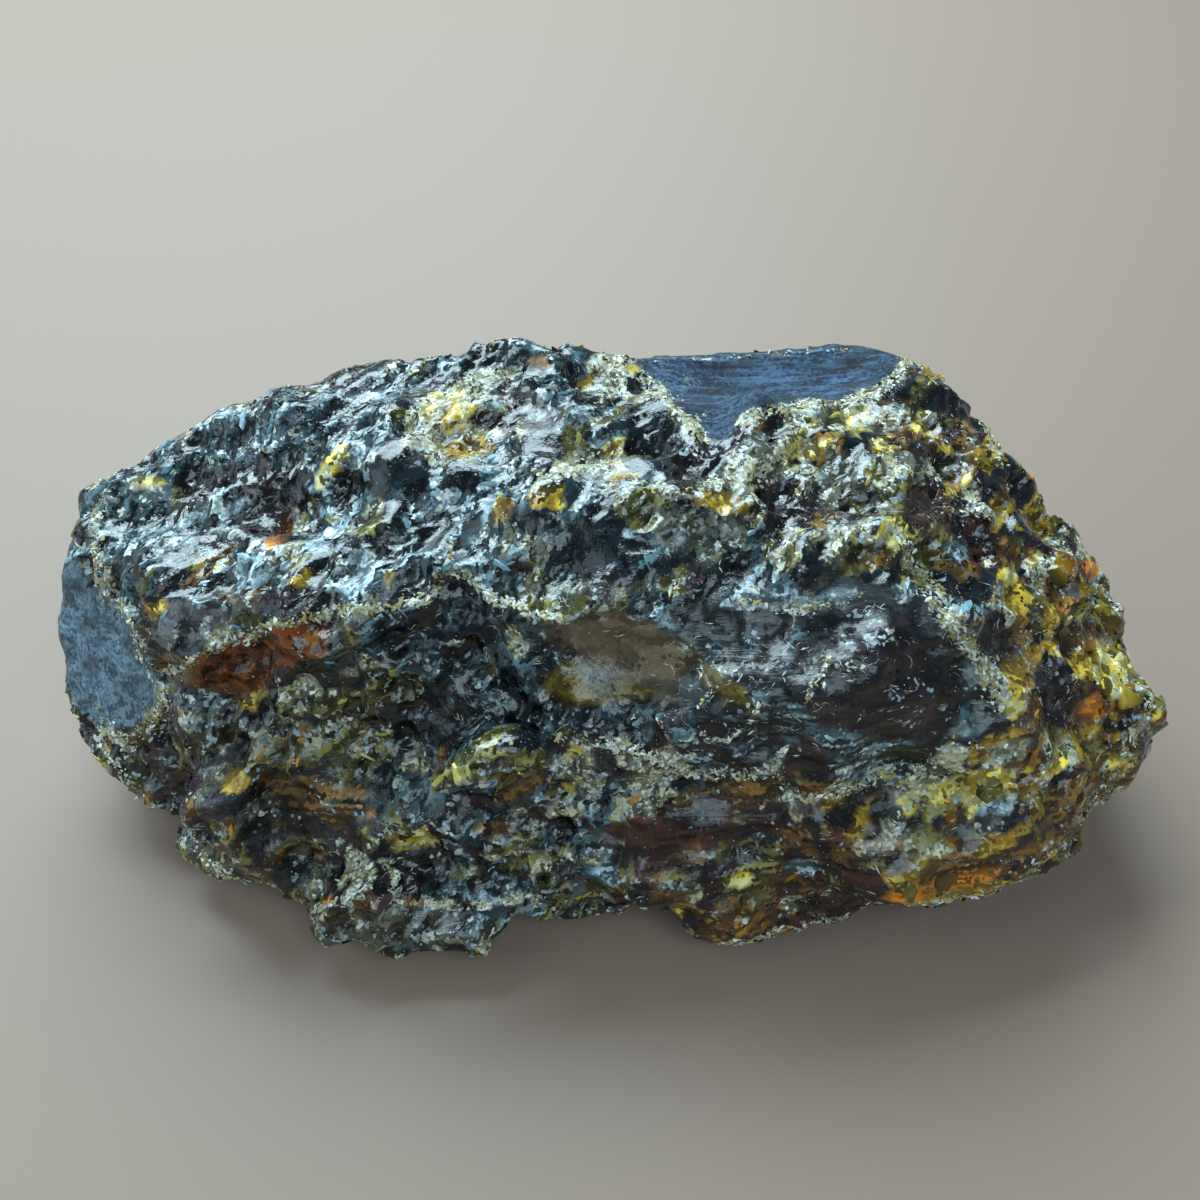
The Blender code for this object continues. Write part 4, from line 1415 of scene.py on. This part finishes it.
@dataclass
class FlakeBed(SmallPieces):
    """Thin angular flakes of resin that stand up from the broken faces."""

    name: ClassVar[str] = "resin_flakes"
    seed: ClassVar[int] = 83
    flakes: int = 2600
    corners: int = 6
    shortest: float = 0.50
    longest: float = 1.50
    sunk: float = 0.35
    streak_turn: float = 60.0
    brightest: float = 0.85
    pale_tone: float = 0.30

    def weights(self) -> np.ndarray:
        """Say how likely each point is to carry a flake: most where the resin is flaky."""
        values = self.lump.values
        flaky = np.clip(values["tilt"] - 0.18, 0.0, 1.0) ** 1.5
        raised = self.lump.looks.skin.points[:, 2] > 2.0
        return flaky * ((1.0 - values["skin"]) * (1.0 - 0.9 * values["flow"]) * raised)

    def fill(self, heap: Heap, draws: np.random.Generator) -> None:
        """Lay the flakes, most of them along the streaks, in the colours of their places.

        Args:
            heap: What the flakes are added to.
            draws: The random draws.
        """
        skin = self.lump.looks.skin
        normals = skin.normals
        weight = self.weights()
        chosen = draws.choice(len(weight), self.flakes, p=weight / weight.sum())
        turn = math.radians(self.streak_turn)
        streak = np.array([math.cos(turn), math.sin(turn), 0.0])
        count = self.corners
        faces = [(k, (k + 1) % count, 2 * count) for k in range(count)]
        faces += [((k + 1) % count, k, k + count, (k + 1) % count + count) for k in range(count)]
        faces.append(tuple(range(2 * count - 1, count - 1, -1)))
        for k in chosen:
            seat = Seat(skin.points[k], normals[k], streak)
            ways = seat.basis(draws, 0.18)
            pale = self.lump.values["tint"][k].max() > self.pale_tone
            length = draws.uniform(self.shortest, self.longest) * (0.5 if pale else 1.0)
            width = length * draws.uniform(0.18, 0.42)
            angles = (np.arange(count) + draws.uniform(-0.3, 0.3, count)) * 2.0 * math.pi / count
            rim = np.stack([np.cos(angles) * length, np.sin(angles) * width,
                            draws.uniform(0.0, 0.08, count)], axis=1)
            rim[:, :2] *= draws.uniform(0.7, 1.15, (count, 1))
            foot = rim * np.array([1.1, 1.1, 0.0]) - np.array([0.0, 0.0, self.sunk])
            tip = np.array([[0.3 * length * draws.normal(), 0.2 * width * draws.normal(),
                             0.10 + 0.10 * draws.uniform()]])
            form = np.concatenate([rim, foot, tip])
            tone = self.lump.values["tint" if draws.uniform() < 0.5 else "second"][k]
            gain = 0.45 + 1.5 * draws.uniform() ** 2.0
            gain = min(gain, self.brightest / max(tone.max(), 0.01))
            heap.add(seat.place + form @ ways, faces, tone * gain)


@dataclass(frozen=True)
class GranuleField(Area):
    """An area set with rounded granules: how many, and the largest radius in millimetres."""

    granules: int
    largest: float


GRANULE_FIELDS = {
    "upper margin": GranuleField(1040, 535, 26, 34, 16, 1.5),
    "bead margin": GranuleField(1085, 590, 36, 40, 26, 1.9),
    "tip": GranuleField(1112, 665, 34, 44, 26, 2.1),
    "lower margin": GranuleField(1105, 745, 40, 44, 18, 1.5),
    "lower right": GranuleField(1058, 815, 44, 26, 14, 1.6),
    "lip": GranuleField(930, 888, 60, 16, 14, 1.8),
    "right lip": GranuleField(1010, 875, 34, 14, 8, 1.4),
    "yellow field": GranuleField(960, 795, 44, 22, 12, 1.3),
    "right edge": GranuleField(990, 455, 16, 24, 8, 1.2),
    "top right": GranuleField(850, 440, 60, 30, 10, 1.1),
}


@dataclass
class GranuleSet(SmallPieces):
    """Rounded see-through granules on the right margin and along the lower right lip."""

    name: ClassVar[str] = "golden_granules"
    seed: ClassVar[int] = 97
    smooth: ClassVar[bool] = True
    unseen: int = 46
    cuts: int = 7
    unseen_past: float = 52.0
    unseen_largest: float = 1.7
    smallest: float = 0.55
    tones: tuple[Colour, ...] = (
        (0.95, 0.64, 0.05), (0.90, 0.38, 0.02), (0.42, 0.37, 0.08), (0.42, 0.20, 0.03),
    )
    tone_shares: tuple[float, ...] = (0.32, 0.14, 0.26, 0.28)

    def seats(self, draws: np.random.Generator) -> list[tuple[Seat, float]]:
        """Find a seat and a largest radius for each granule."""
        seats = []
        for area in GRANULE_FIELDS.values():
            for _ in range(area.granules):
                found = self.lump.looks.hit(*area.spot(draws))
                if found is not None:
                    seats.append((Seat(*found, draws.normal(size=3)), area.largest))
        skin = self.lump.looks.skin
        normals = skin.normals
        hidden = (self.lump.looks.facing < 0.0) & (skin.points[:, 0] > self.unseen_past)
        for k in draws.choice(np.flatnonzero(hidden & (skin.points[:, 2] > 3.0)), self.unseen):
            seat = Seat(skin.points[k], normals[k], draws.normal(size=3))
            seats.append((seat, self.unseen_largest))
        return seats

    def fill(self, heap: Heap, draws: np.random.Generator) -> None:
        """Set the granules, half sunk, with painted light toward the top and painted shade toward the
        foot.

        Args:
            heap: What the granules are added to.
            draws: The random draws.
        """
        ball, faces = ball_shape(3)
        tones = np.array(self.tones)
        for seat, largest in self.seats(draws):
            size = self.smallest + (largest - self.smallest) * draws.uniform() ** 1.5
            form = self.chunk(ball, draws)
            form = form * np.array([draws.uniform(0.9, 1.7), 1.0, draws.uniform(0.55, 0.9)]) * size
            place = seat.place - seat.out * size * draws.uniform(0.35, 0.65)
            place[2] = max(place[2], size * FLOOR_CLEAR)
            tone = tones[draws.choice(len(tones), p=self.tone_shares)] * draws.uniform(0.6, 1.05)
            # Painted light and shade: each granule's colour brightens toward its top and darkens toward
            # its sunk foot.
            glow = smooth_step(-0.3, 1.0, form[:, 2] / size)
            tone = tone * (0.18 + 0.70 * glow[:, None])
            heap.add(place + form @ seat.basis(draws, 0.2), faces, tone)

    def chunk(self, ball: np.ndarray, draws: np.random.Generator) -> np.ndarray:
        """Cut a ball down to a worn chunk with a few flat sides."""
        lumps = smooth_noise(ball * 1.3 + draws.uniform(0.0, 50.0, 3), 1.0, 91)
        form = ball * (1.0 + 0.22 * lumps[:, None])
        for _ in range(self.cuts):
            side = unit(draws.normal(size=3))
            over = np.maximum(form @ side - draws.uniform(0.45, 0.85), 0.0)
            form = form - over[:, None] * side
        return form


class Nodes:
    """A short way to write a material's nodes."""

    def __init__(self, name: str) -> None:
        """Start a material with its Principled shader."""
        self.material = bpy.data.materials.new(name)
        self.material.use_nodes = True
        self.tree = self.material.node_tree
        self.shader = self.tree.nodes["Principled BSDF"]
        self.output = self.tree.nodes["Material Output"]

    def add(self, kind: str, out: int | str = 0, **inputs: object) -> Socket:
        """Add a node and give one of its outputs.

        Args:
            kind: The node's type, then its settings after colons, as name=value.
            out: The output to give.
            inputs: Values or sockets for its inputs, by name; i0, i1 and so on by number.

        Returns:
            The output socket.
        """
        kind, *settings = kind.split(":")
        node = self.tree.nodes.new("ShaderNode" + kind)
        for setting in settings:
            setattr(node, *setting.split("="))
        for name, value in inputs.items():
            by_number = name[0] == "i" and name[1:].isdigit()
            self.set(node.inputs[int(name[1:]) if by_number else name.replace("_", " ")], value)
        return node.outputs[out]

    def set(self, socket: Socket, value: object) -> None:
        """Link a socket or give it a value."""
        if isinstance(value, bpy.types.NodeSocket):
            self.tree.links.new(value, socket)
        elif isinstance(value, tuple) and len(value) == 3 and socket.type == "RGBA":
            socket.default_value = (*value, 1.0)
        else:
            socket.default_value = value

    def shade(self, **inputs: object) -> None:
        """Give the shader's inputs their values or sockets, by name."""
        for name, value in inputs.items():
            self.set(self.shader.inputs[name.replace("_", " ")], value)

    def absorb(self, colour: Colour, density: float) -> None:
        """Let the inside take in light, by its colour and density."""
        depth = self.add("VolumeAbsorption", Color=colour, Density=density)
        self.set(self.output.inputs["Volume"], depth)

    def math(self, operation: str, *values: object) -> Socket:
        """Add a Math node."""
        inputs = {f"i{k}": value for k, value in enumerate(values)}
        return self.add(f"Math:operation={operation}", **inputs)

    def vector(self, operation: str, *values: object) -> Socket:
        """Add a Vector Math node."""
        inputs = {f"i{k}": value for k, value in enumerate(values)}
        return self.add(f"VectorMath:operation={operation}", **inputs)

    def ramp(self, value: object, low: float, high: float) -> Socket:
        """Rise softly from 0 at the low value to 1 at the high one."""
        return self.add("MapRange:interpolation_type=SMOOTHSTEP", Value=value, From_Min=low,
                        From_Max=high)

    def blend(self, share: object, first: object, second: object) -> Socket:
        """Mix two colours."""
        return self.add("Mix:data_type=RGBA", 2, i0=share, i6=first, i7=second)

    def lerp(self, share: object, first: object, second: object) -> Socket:
        """Mix two numbers."""
        return self.add("Mix:data_type=FLOAT", 0, i0=share, i2=first, i3=second)

    def scaled(self, vector: object, amount: object) -> Socket:
        """Make a vector or a colour longer or shorter."""
        return self.add("VectorMath:operation=SCALE", i0=vector, i3=amount)

    def parts(self, colour: Socket) -> tuple[Socket, ...]:
        """Split a colour into its three numbers."""
        return tuple(self.add("SeparateXYZ", 0, Vector=colour).node.outputs)

    def attribute(self, name: str, out: str = "Fac") -> Socket:
        """Read one of the mesh's kept numbers."""
        return self.add(f"Attribute:attribute_name={name}", out)

    def attribute_colour(self, name: str) -> Socket:
        """Read one of the mesh's kept colours."""
        return self.attribute(name, "Color")

    def two_tones(self, share: object) -> Socket:
        """Drift between the two colours of the look that lies here."""
        return self.blend(share, self.attribute_colour("tint"), self.attribute_colour("second"))


@dataclass(frozen=True)
class Fragments:
    """The two sizes of angular fragment that the resin breaks into, and its fine grain."""

    nodes: Nodes
    grain: Socket
    fine: Socket
    fine_draws: tuple[Socket, ...]
    gap: Socket
    coarse: Socket
    coarse_draws: tuple[Socket, ...]


@dataclass(frozen=True)
class ResinFinish:
    """The lump's finish: dark see-through resin with windows, crust, dust, grey skin and painted sky
    glints in its pale fragments.
    """

    index: float = 1.54
    glaze: float = 1.6
    glaze_rough: float = 0.05
    crumb_rough: float = 0.56
    murk: float = 800.0
    murk_colour: Colour = (0.85, 0.58, 0.10)
    fine_scale: float = 2.3
    coarse_scale: Triple = (0.42, 1.0, 1.0)
    coarse_turn: float = 58.0
    band_scale: Triple = (0.20, 1.0, 1.5)
    cloud_scale: Triple = (0.14, 0.42, 0.42)
    grain_scale: Triple = (1.3, 1.3, 1.3)
    level_scale: Triple = (0.10, 1.3, 1.5)
    # Pale blue of the pale fragments: partly crazing, partly painted sky glint.
    frost_and_glint: Colour = (0.52, 0.68, 0.76)
    cream: Colour = (0.92, 0.92, 0.76)
    straw: Colour = (0.46, 0.40, 0.15)
    dust: Colour = (0.88, 0.92, 0.88)

    def build(self) -> bpy.types.Material:
        """Make the material.

        Returns:
            The material of the lump's fine skin.
        """
        n = Nodes("dark_amber")
        mm = n.scaled(n.add("TexCoord", "Object"), 1.0 / MM)
        bits = self.fragments(n, mm)
        in_crust = self.crust_share(bits)
        specks = self.specks(bits)
        in_skin = self.skin_share(bits)
        colour = n.blend(in_crust, self.resin_colour(bits), self.crust_colour(bits))
        colour = n.blend(specks, colour, self.dust)
        colour = n.blend(in_skin, colour, self.skin_colour(bits, mm))

        crumbly = n.math("MAXIMUM", specks, in_crust)
        bare = n.math("SUBTRACT", 1.0, n.math("MAXIMUM", crumbly, in_skin))
        chance = bits.coarse_draws[1]
        gloss = n.math("MULTIPLY_ADD", chance, 0.10, n.attribute("rough"))
        glaze = n.math("MULTIPLY", n.math("MULTIPLY", chance, n.attribute("tilt")), self.glaze)
        n.shade(Base_Color=colour, Roughness=n.lerp(crumbly, gloss, self.crumb_rough),
                Transmission_Weight=n.math("MULTIPLY", n.attribute("clear"), bare),
                Coat_Weight=n.math("MULTIPLY", glaze, bare), Coat_Roughness=self.glaze_rough,
                Normal=self.relief(bits, in_skin), IOR=self.index)
        n.absorb(self.murk_colour, self.murk)
        return n.material

    def fragments(self, n: Nodes, mm: Socket) -> Fragments:
        """Break the places into fine fragments, and those into coarse ones with ragged edges.

        Args:
            n: The material's nodes.
            mm: Places in millimetres.

        Returns:
            Both sizes of fragment, and the fine grain, drawn out on grey skin and level bands.
        """
        drawn_out = n.math("MAXIMUM", n.attribute("skin"), n.attribute("flow"))
        along = n.add("Mix:data_type=VECTOR", 1, i0=drawn_out, i4=self.grain_scale,
                      i5=self.level_scale)
        grain = n.add("TexNoise", Vector=n.vector("MULTIPLY", mm, along), Scale=1.0, Detail=3.0,
                      Roughness=0.6)
        fine = n.add("TexVoronoi", "Color", Vector=mm, Scale=self.fine_scale)
        middle = fine.node.outputs["Position"]
        turned = n.add("VectorRotate:rotation_type=Z_AXIS", Vector=middle,
                       Angle=math.radians(-self.coarse_turn))
        spots = n.add("Mix:data_type=VECTOR", 1, i4=n.vector("MULTIPLY", turned, self.coarse_scale),
                      i5=n.vector("MULTIPLY", middle, self.band_scale),
                      i0=n.math("GREATER_THAN", n.attribute("flow"), 0.5))
        coarse = n.add("TexVoronoi", "Color", Vector=spots, Scale=1.0)
        return Fragments(n, grain, fine, n.parts(fine), fine.node.outputs["Distance"], coarse,
                         n.parts(coarse))

    def resin_colour(self, bits: Fragments) -> Socket:
        """Colour the resin, with some dark and some pale fragments; the pale blue ones are partly
        crazing and partly painted glint.

        Args:
            bits: The fragments.

        Returns:
            The colour.
        """
        n = bits.nodes
        swing = n.math("MULTIPLY_ADD", bits.fine_draws[0], 0.25, n.math("MULTIPLY", bits.grain, 0.7))
        swing = n.math("MULTIPLY_ADD", bits.coarse_draws[0], 0.7, swing)
        colour = n.two_tones(n.ramp(swing, 0.66, 0.98))
        shade = n.math("MULTIPLY_ADD", bits.coarse_draws[2], 0.9, 0.45)
        dark = n.math("LESS_THAN", bits.coarse_draws[1], n.math("MULTIPLY", n.attribute("tilt"), 0.7))
        shade = n.math("MULTIPLY", shade, n.math("MULTIPLY_ADD", dark, -0.7, 1.0))
        broken = n.ramp(n.math("MAXIMUM", n.attribute("tilt"), n.attribute("flow")), 0.02, 0.2)
        colour = n.scaled(colour, n.lerp(broken, 0.85, shade))
        # Pale fragments: cream crumble, or pale blue that is partly crazing and partly painted sky
        # glint.
        chance = n.math("MULTIPLY_ADD", bits.fine_draws[1], 0.35, bits.coarse_draws[1])
        in_pale = n.math("GREATER_THAN", chance,
                         n.math("MULTIPLY_ADD", n.attribute("pale"), -1.0, 1.25))
        pale_tone = n.blend(n.math("GREATER_THAN", bits.coarse_draws[0], 0.55), self.frost_and_glint,
                            self.cream)
        pale_tone = n.scaled(pale_tone, n.math("MULTIPLY_ADD", bits.fine_draws[2], 1.0, 0.25))
        return n.blend(n.math("MULTIPLY", in_pale, 0.85), colour, pale_tone)

    def skin_share(self, bits: Fragments) -> Socket:
        """Say where the grey skin is left, with a ragged edge."""
        n = bits.nodes
        ragged = n.math("SUBTRACT", bits.fine_draws[1], 0.5)
        return n.ramp(n.math("MULTIPLY_ADD", ragged, 0.5, n.attribute("skin")), 0.44, 0.56)

    def skin_colour(self, bits: Fragments, mm: Socket) -> Socket:
        """Colour the grey skin, mottled, streaked and clouded.

        Args:
            bits: The fragments.
            mm: Places in millimetres.

        Returns:
            The colour.
        """
        n = bits.nodes
        mottled = n.math("MULTIPLY_ADD", bits.fine_draws[2], 0.22, bits.grain)
        cloud = n.add("TexNoise", Vector=n.vector("MULTIPLY", mm, self.cloud_scale), Scale=1.0,
                      Detail=2.0)
        shade = n.math("MULTIPLY_ADD", n.ramp(cloud, 0.34, 0.64), 0.95, 0.45)
        return n.scaled(n.two_tones(n.ramp(mottled, 0.48, 0.74)), shade)

    def crust_share(self, bits: Fragments) -> Socket:
        """Break the crust into crumbs at its edges."""
        n = bits.nodes
        crumble = n.math("MULTIPLY", n.math("SUBTRACT", bits.fine_draws[1], 0.5), 0.6)
        crumble = n.math("MULTIPLY_ADD", n.math("SUBTRACT", bits.grain, 0.5), 0.9, crumble)
        return n.ramp(n.math("ADD", n.attribute("crust"), crumble), 0.48, 0.58)

    def crust_colour(self, bits: Fragments) -> Socket:
        """Colour the crumbs from bright cream to dull straw."""
        n = bits.nodes
        tone = n.blend(n.ramp(bits.coarse_draws[2], 0.35, 0.75), self.cream, self.straw)
        return n.scaled(tone, n.math("MULTIPLY_ADD", bits.fine_draws[0], 0.85, 0.30))

    def specks(self, bits: Fragments) -> Socket:
        """Scatter fine uneven dust."""
        n = bits.nodes
        radius = n.math("MULTIPLY_ADD", n.math("POWER", bits.fine_draws[2], 3.0), 0.17, 0.03)
        near = n.math("LESS_THAN", n.math("MULTIPLY_ADD", bits.grain, 0.5, bits.gap),
                      n.math("ADD", radius, 0.25))
        kept = n.math("LESS_THAN", bits.fine_draws[0], n.math("MULTIPLY", n.attribute("dust"), 2.2))
        bright = n.math("MULTIPLY_ADD", bits.fine_draws[1], 0.7, 0.3)
        return n.math("MULTIPLY", n.math("MULTIPLY", near, kept), bright)

    def relief(self, bits: Fragments, in_skin: Socket) -> Socket:
        """Give the surface its small relief and tilt each fragment a little.

        Args:
            bits: The fragments.
            in_skin: Where the grey skin lies, which stays level.

        Returns:
            The shader's outward direction.
        """
        n = bits.nodes
        bump = n.add("Bump", Height=bits.grain, Strength=0.7, Distance=0.16 * MM)
        tilt = n.math("MULTIPLY", n.attribute("tilt"), n.math("SUBTRACT", 1.0, in_skin))
        jitter = n.vector("SUBTRACT", bits.coarse, (0.5, 0.5, 0.5))
        small = n.scaled(n.vector("SUBTRACT", bits.fine, (0.5, 0.5, 0.5)), 0.42)
        jitter = n.scaled(n.vector("ADD", jitter, small), tilt)
        return n.vector("NORMALIZE", n.vector("ADD", bump, jitter))


@dataclass(frozen=True)
class BitFinish:
    """The finish of a kind of small piece: its roughness, clearness and colour swing."""

    name: str
    rough: float
    clear: float
    swing: float
    grain: float
    murk: float = 0.0
    index: float = 1.54
    murk_colour: Colour = (0.95, 0.70, 0.12)

    def build(self) -> bpy.types.Material:
        """Make the material.

        Returns:
            The material, which takes each piece's own colour from its mesh.
        """
        n = Nodes(self.name)
        noise = n.add("TexNoise", Vector=n.add("TexCoord", "Object"), Scale=self.grain / MM,
                      Detail=2.0)
        amount = n.math("MULTIPLY_ADD", n.math("SUBTRACT", noise, 0.5), self.swing, 1.0)
        n.shade(Base_Color=n.scaled(n.attribute_colour("tint"), amount),
                Roughness=n.math("MULTIPLY_ADD", noise, 0.2, self.rough),
                Transmission_Weight=self.clear, IOR=self.index,
                Normal=n.add("Bump", Height=noise, Strength=0.5, Distance=0.05 * MM))
        if self.murk > 0.0:
            n.absorb(self.murk_colour, self.murk)
        return n.material


@dataclass(frozen=True)
class Lamp:
    """A soft square-cornered light: its place and size in metres, and its power in watts."""

    name: str
    place: Triple
    size: tuple[float, float]
    power: float

    def hang(self, colour: Colour) -> None:
        """Hang the light so that it faces the lump."""
        data = bpy.data.lights.new(self.name, "AREA")
        data.shape = "RECTANGLE"
        data.size, data.size_y = self.size
        data.energy = self.power
        data.color = colour
        light = bpy.data.objects.new(self.name, data)
        light.location = self.place
        sight = Vector((0.0, 0.0, 0.02)) - Vector(self.place)
        light.rotation_euler = sight.to_track_quat("-Z", "Y").to_euler()
        bpy.context.scene.collection.objects.link(light)


@dataclass(frozen=True)
class Studio:
    """A plain pale floor under soft cool daylight from behind and the left."""

    floor_half: float = 3.0
    floor_drop: float = 0.0001
    floor_rough: float = 0.6
    floor_colour: Colour = (0.320, 0.222, 0.172)
    daylight: Colour = (0.67, 0.90, 1.0)
    lamps: tuple[Lamp, ...] = (
        Lamp("window_light", (-0.22, 0.62, 0.72), (0.85, 0.60), 17.6),
        Lamp("side_light", (-0.9, -0.15, 0.6), (0.9, 0.9), 3.5),
        Lamp("front_light", (0.30, -0.80, 0.95), (0.9, 0.6), 6.6),
    )
    air_colour: Colour = (0.70, 0.88, 1.0)
    air_strength: float = 0.18

    def build(self) -> None:
        """Make the floor, the lights and the air."""
        mesh = bpy.data.meshes.new("pale_floor")
        corners = ((-1, -1), (1, -1), (1, 1), (-1, 1))
        mesh.from_pydata([(x * self.floor_half, y * self.floor_half, -self.floor_drop)
                          for x, y in corners], [], [(0, 1, 2, 3)])
        floor = bpy.data.objects.new("pale_floor", mesh)
        bpy.context.scene.collection.objects.link(floor)
        n = Nodes("pale_floor")
        n.shade(Base_Color=self.floor_colour, Roughness=self.floor_rough)
        mesh.materials.append(n.material)
        for lamp in self.lamps:
            lamp.hang(self.daylight)
        bpy.context.scene.view_settings.view_transform = "Standard"
        world = bpy.data.worlds.new("soft_air")
        world.use_nodes = True
        background = world.node_tree.nodes["Background"]
        background.inputs["Color"].default_value = (*self.air_colour, 1.0)
        background.inputs["Strength"].default_value = self.air_strength
        bpy.context.scene.world = world


def main() -> None:
    """Dress the lump and light it."""
    logging.basicConfig(level=logging.INFO, format="%(name)s: %(message)s")
    camera = PhotoCamera()
    camera.build()
    form = LumpForm(camera)
    lump = form.build(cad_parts[SOLID])
    lump.data.materials.append(ResinFinish().build())
    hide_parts(SOLID)
    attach(lump, "root")
    LOG.info("lump: %d faces", len(lump.data.polygons))
    CrumbTrail(form).build(BitFinish("cream_crumb", 0.50, 0.0, 0.9, 3.0).build())
    VeinWeb(form).build(BitFinish("vein_crust", 0.34, 0.0, 0.8, 3.0).build())
    FlakeBed(form).build(BitFinish("resin_flake", 0.08, 0.12, 0.9, 1.6).build())
    GranuleSet(form).build(BitFinish("golden_resin", 0.06, 0.55, 0.7, 0.8, 160.0).build())
    Studio().build()


if __name__ == "__main__":
    main()
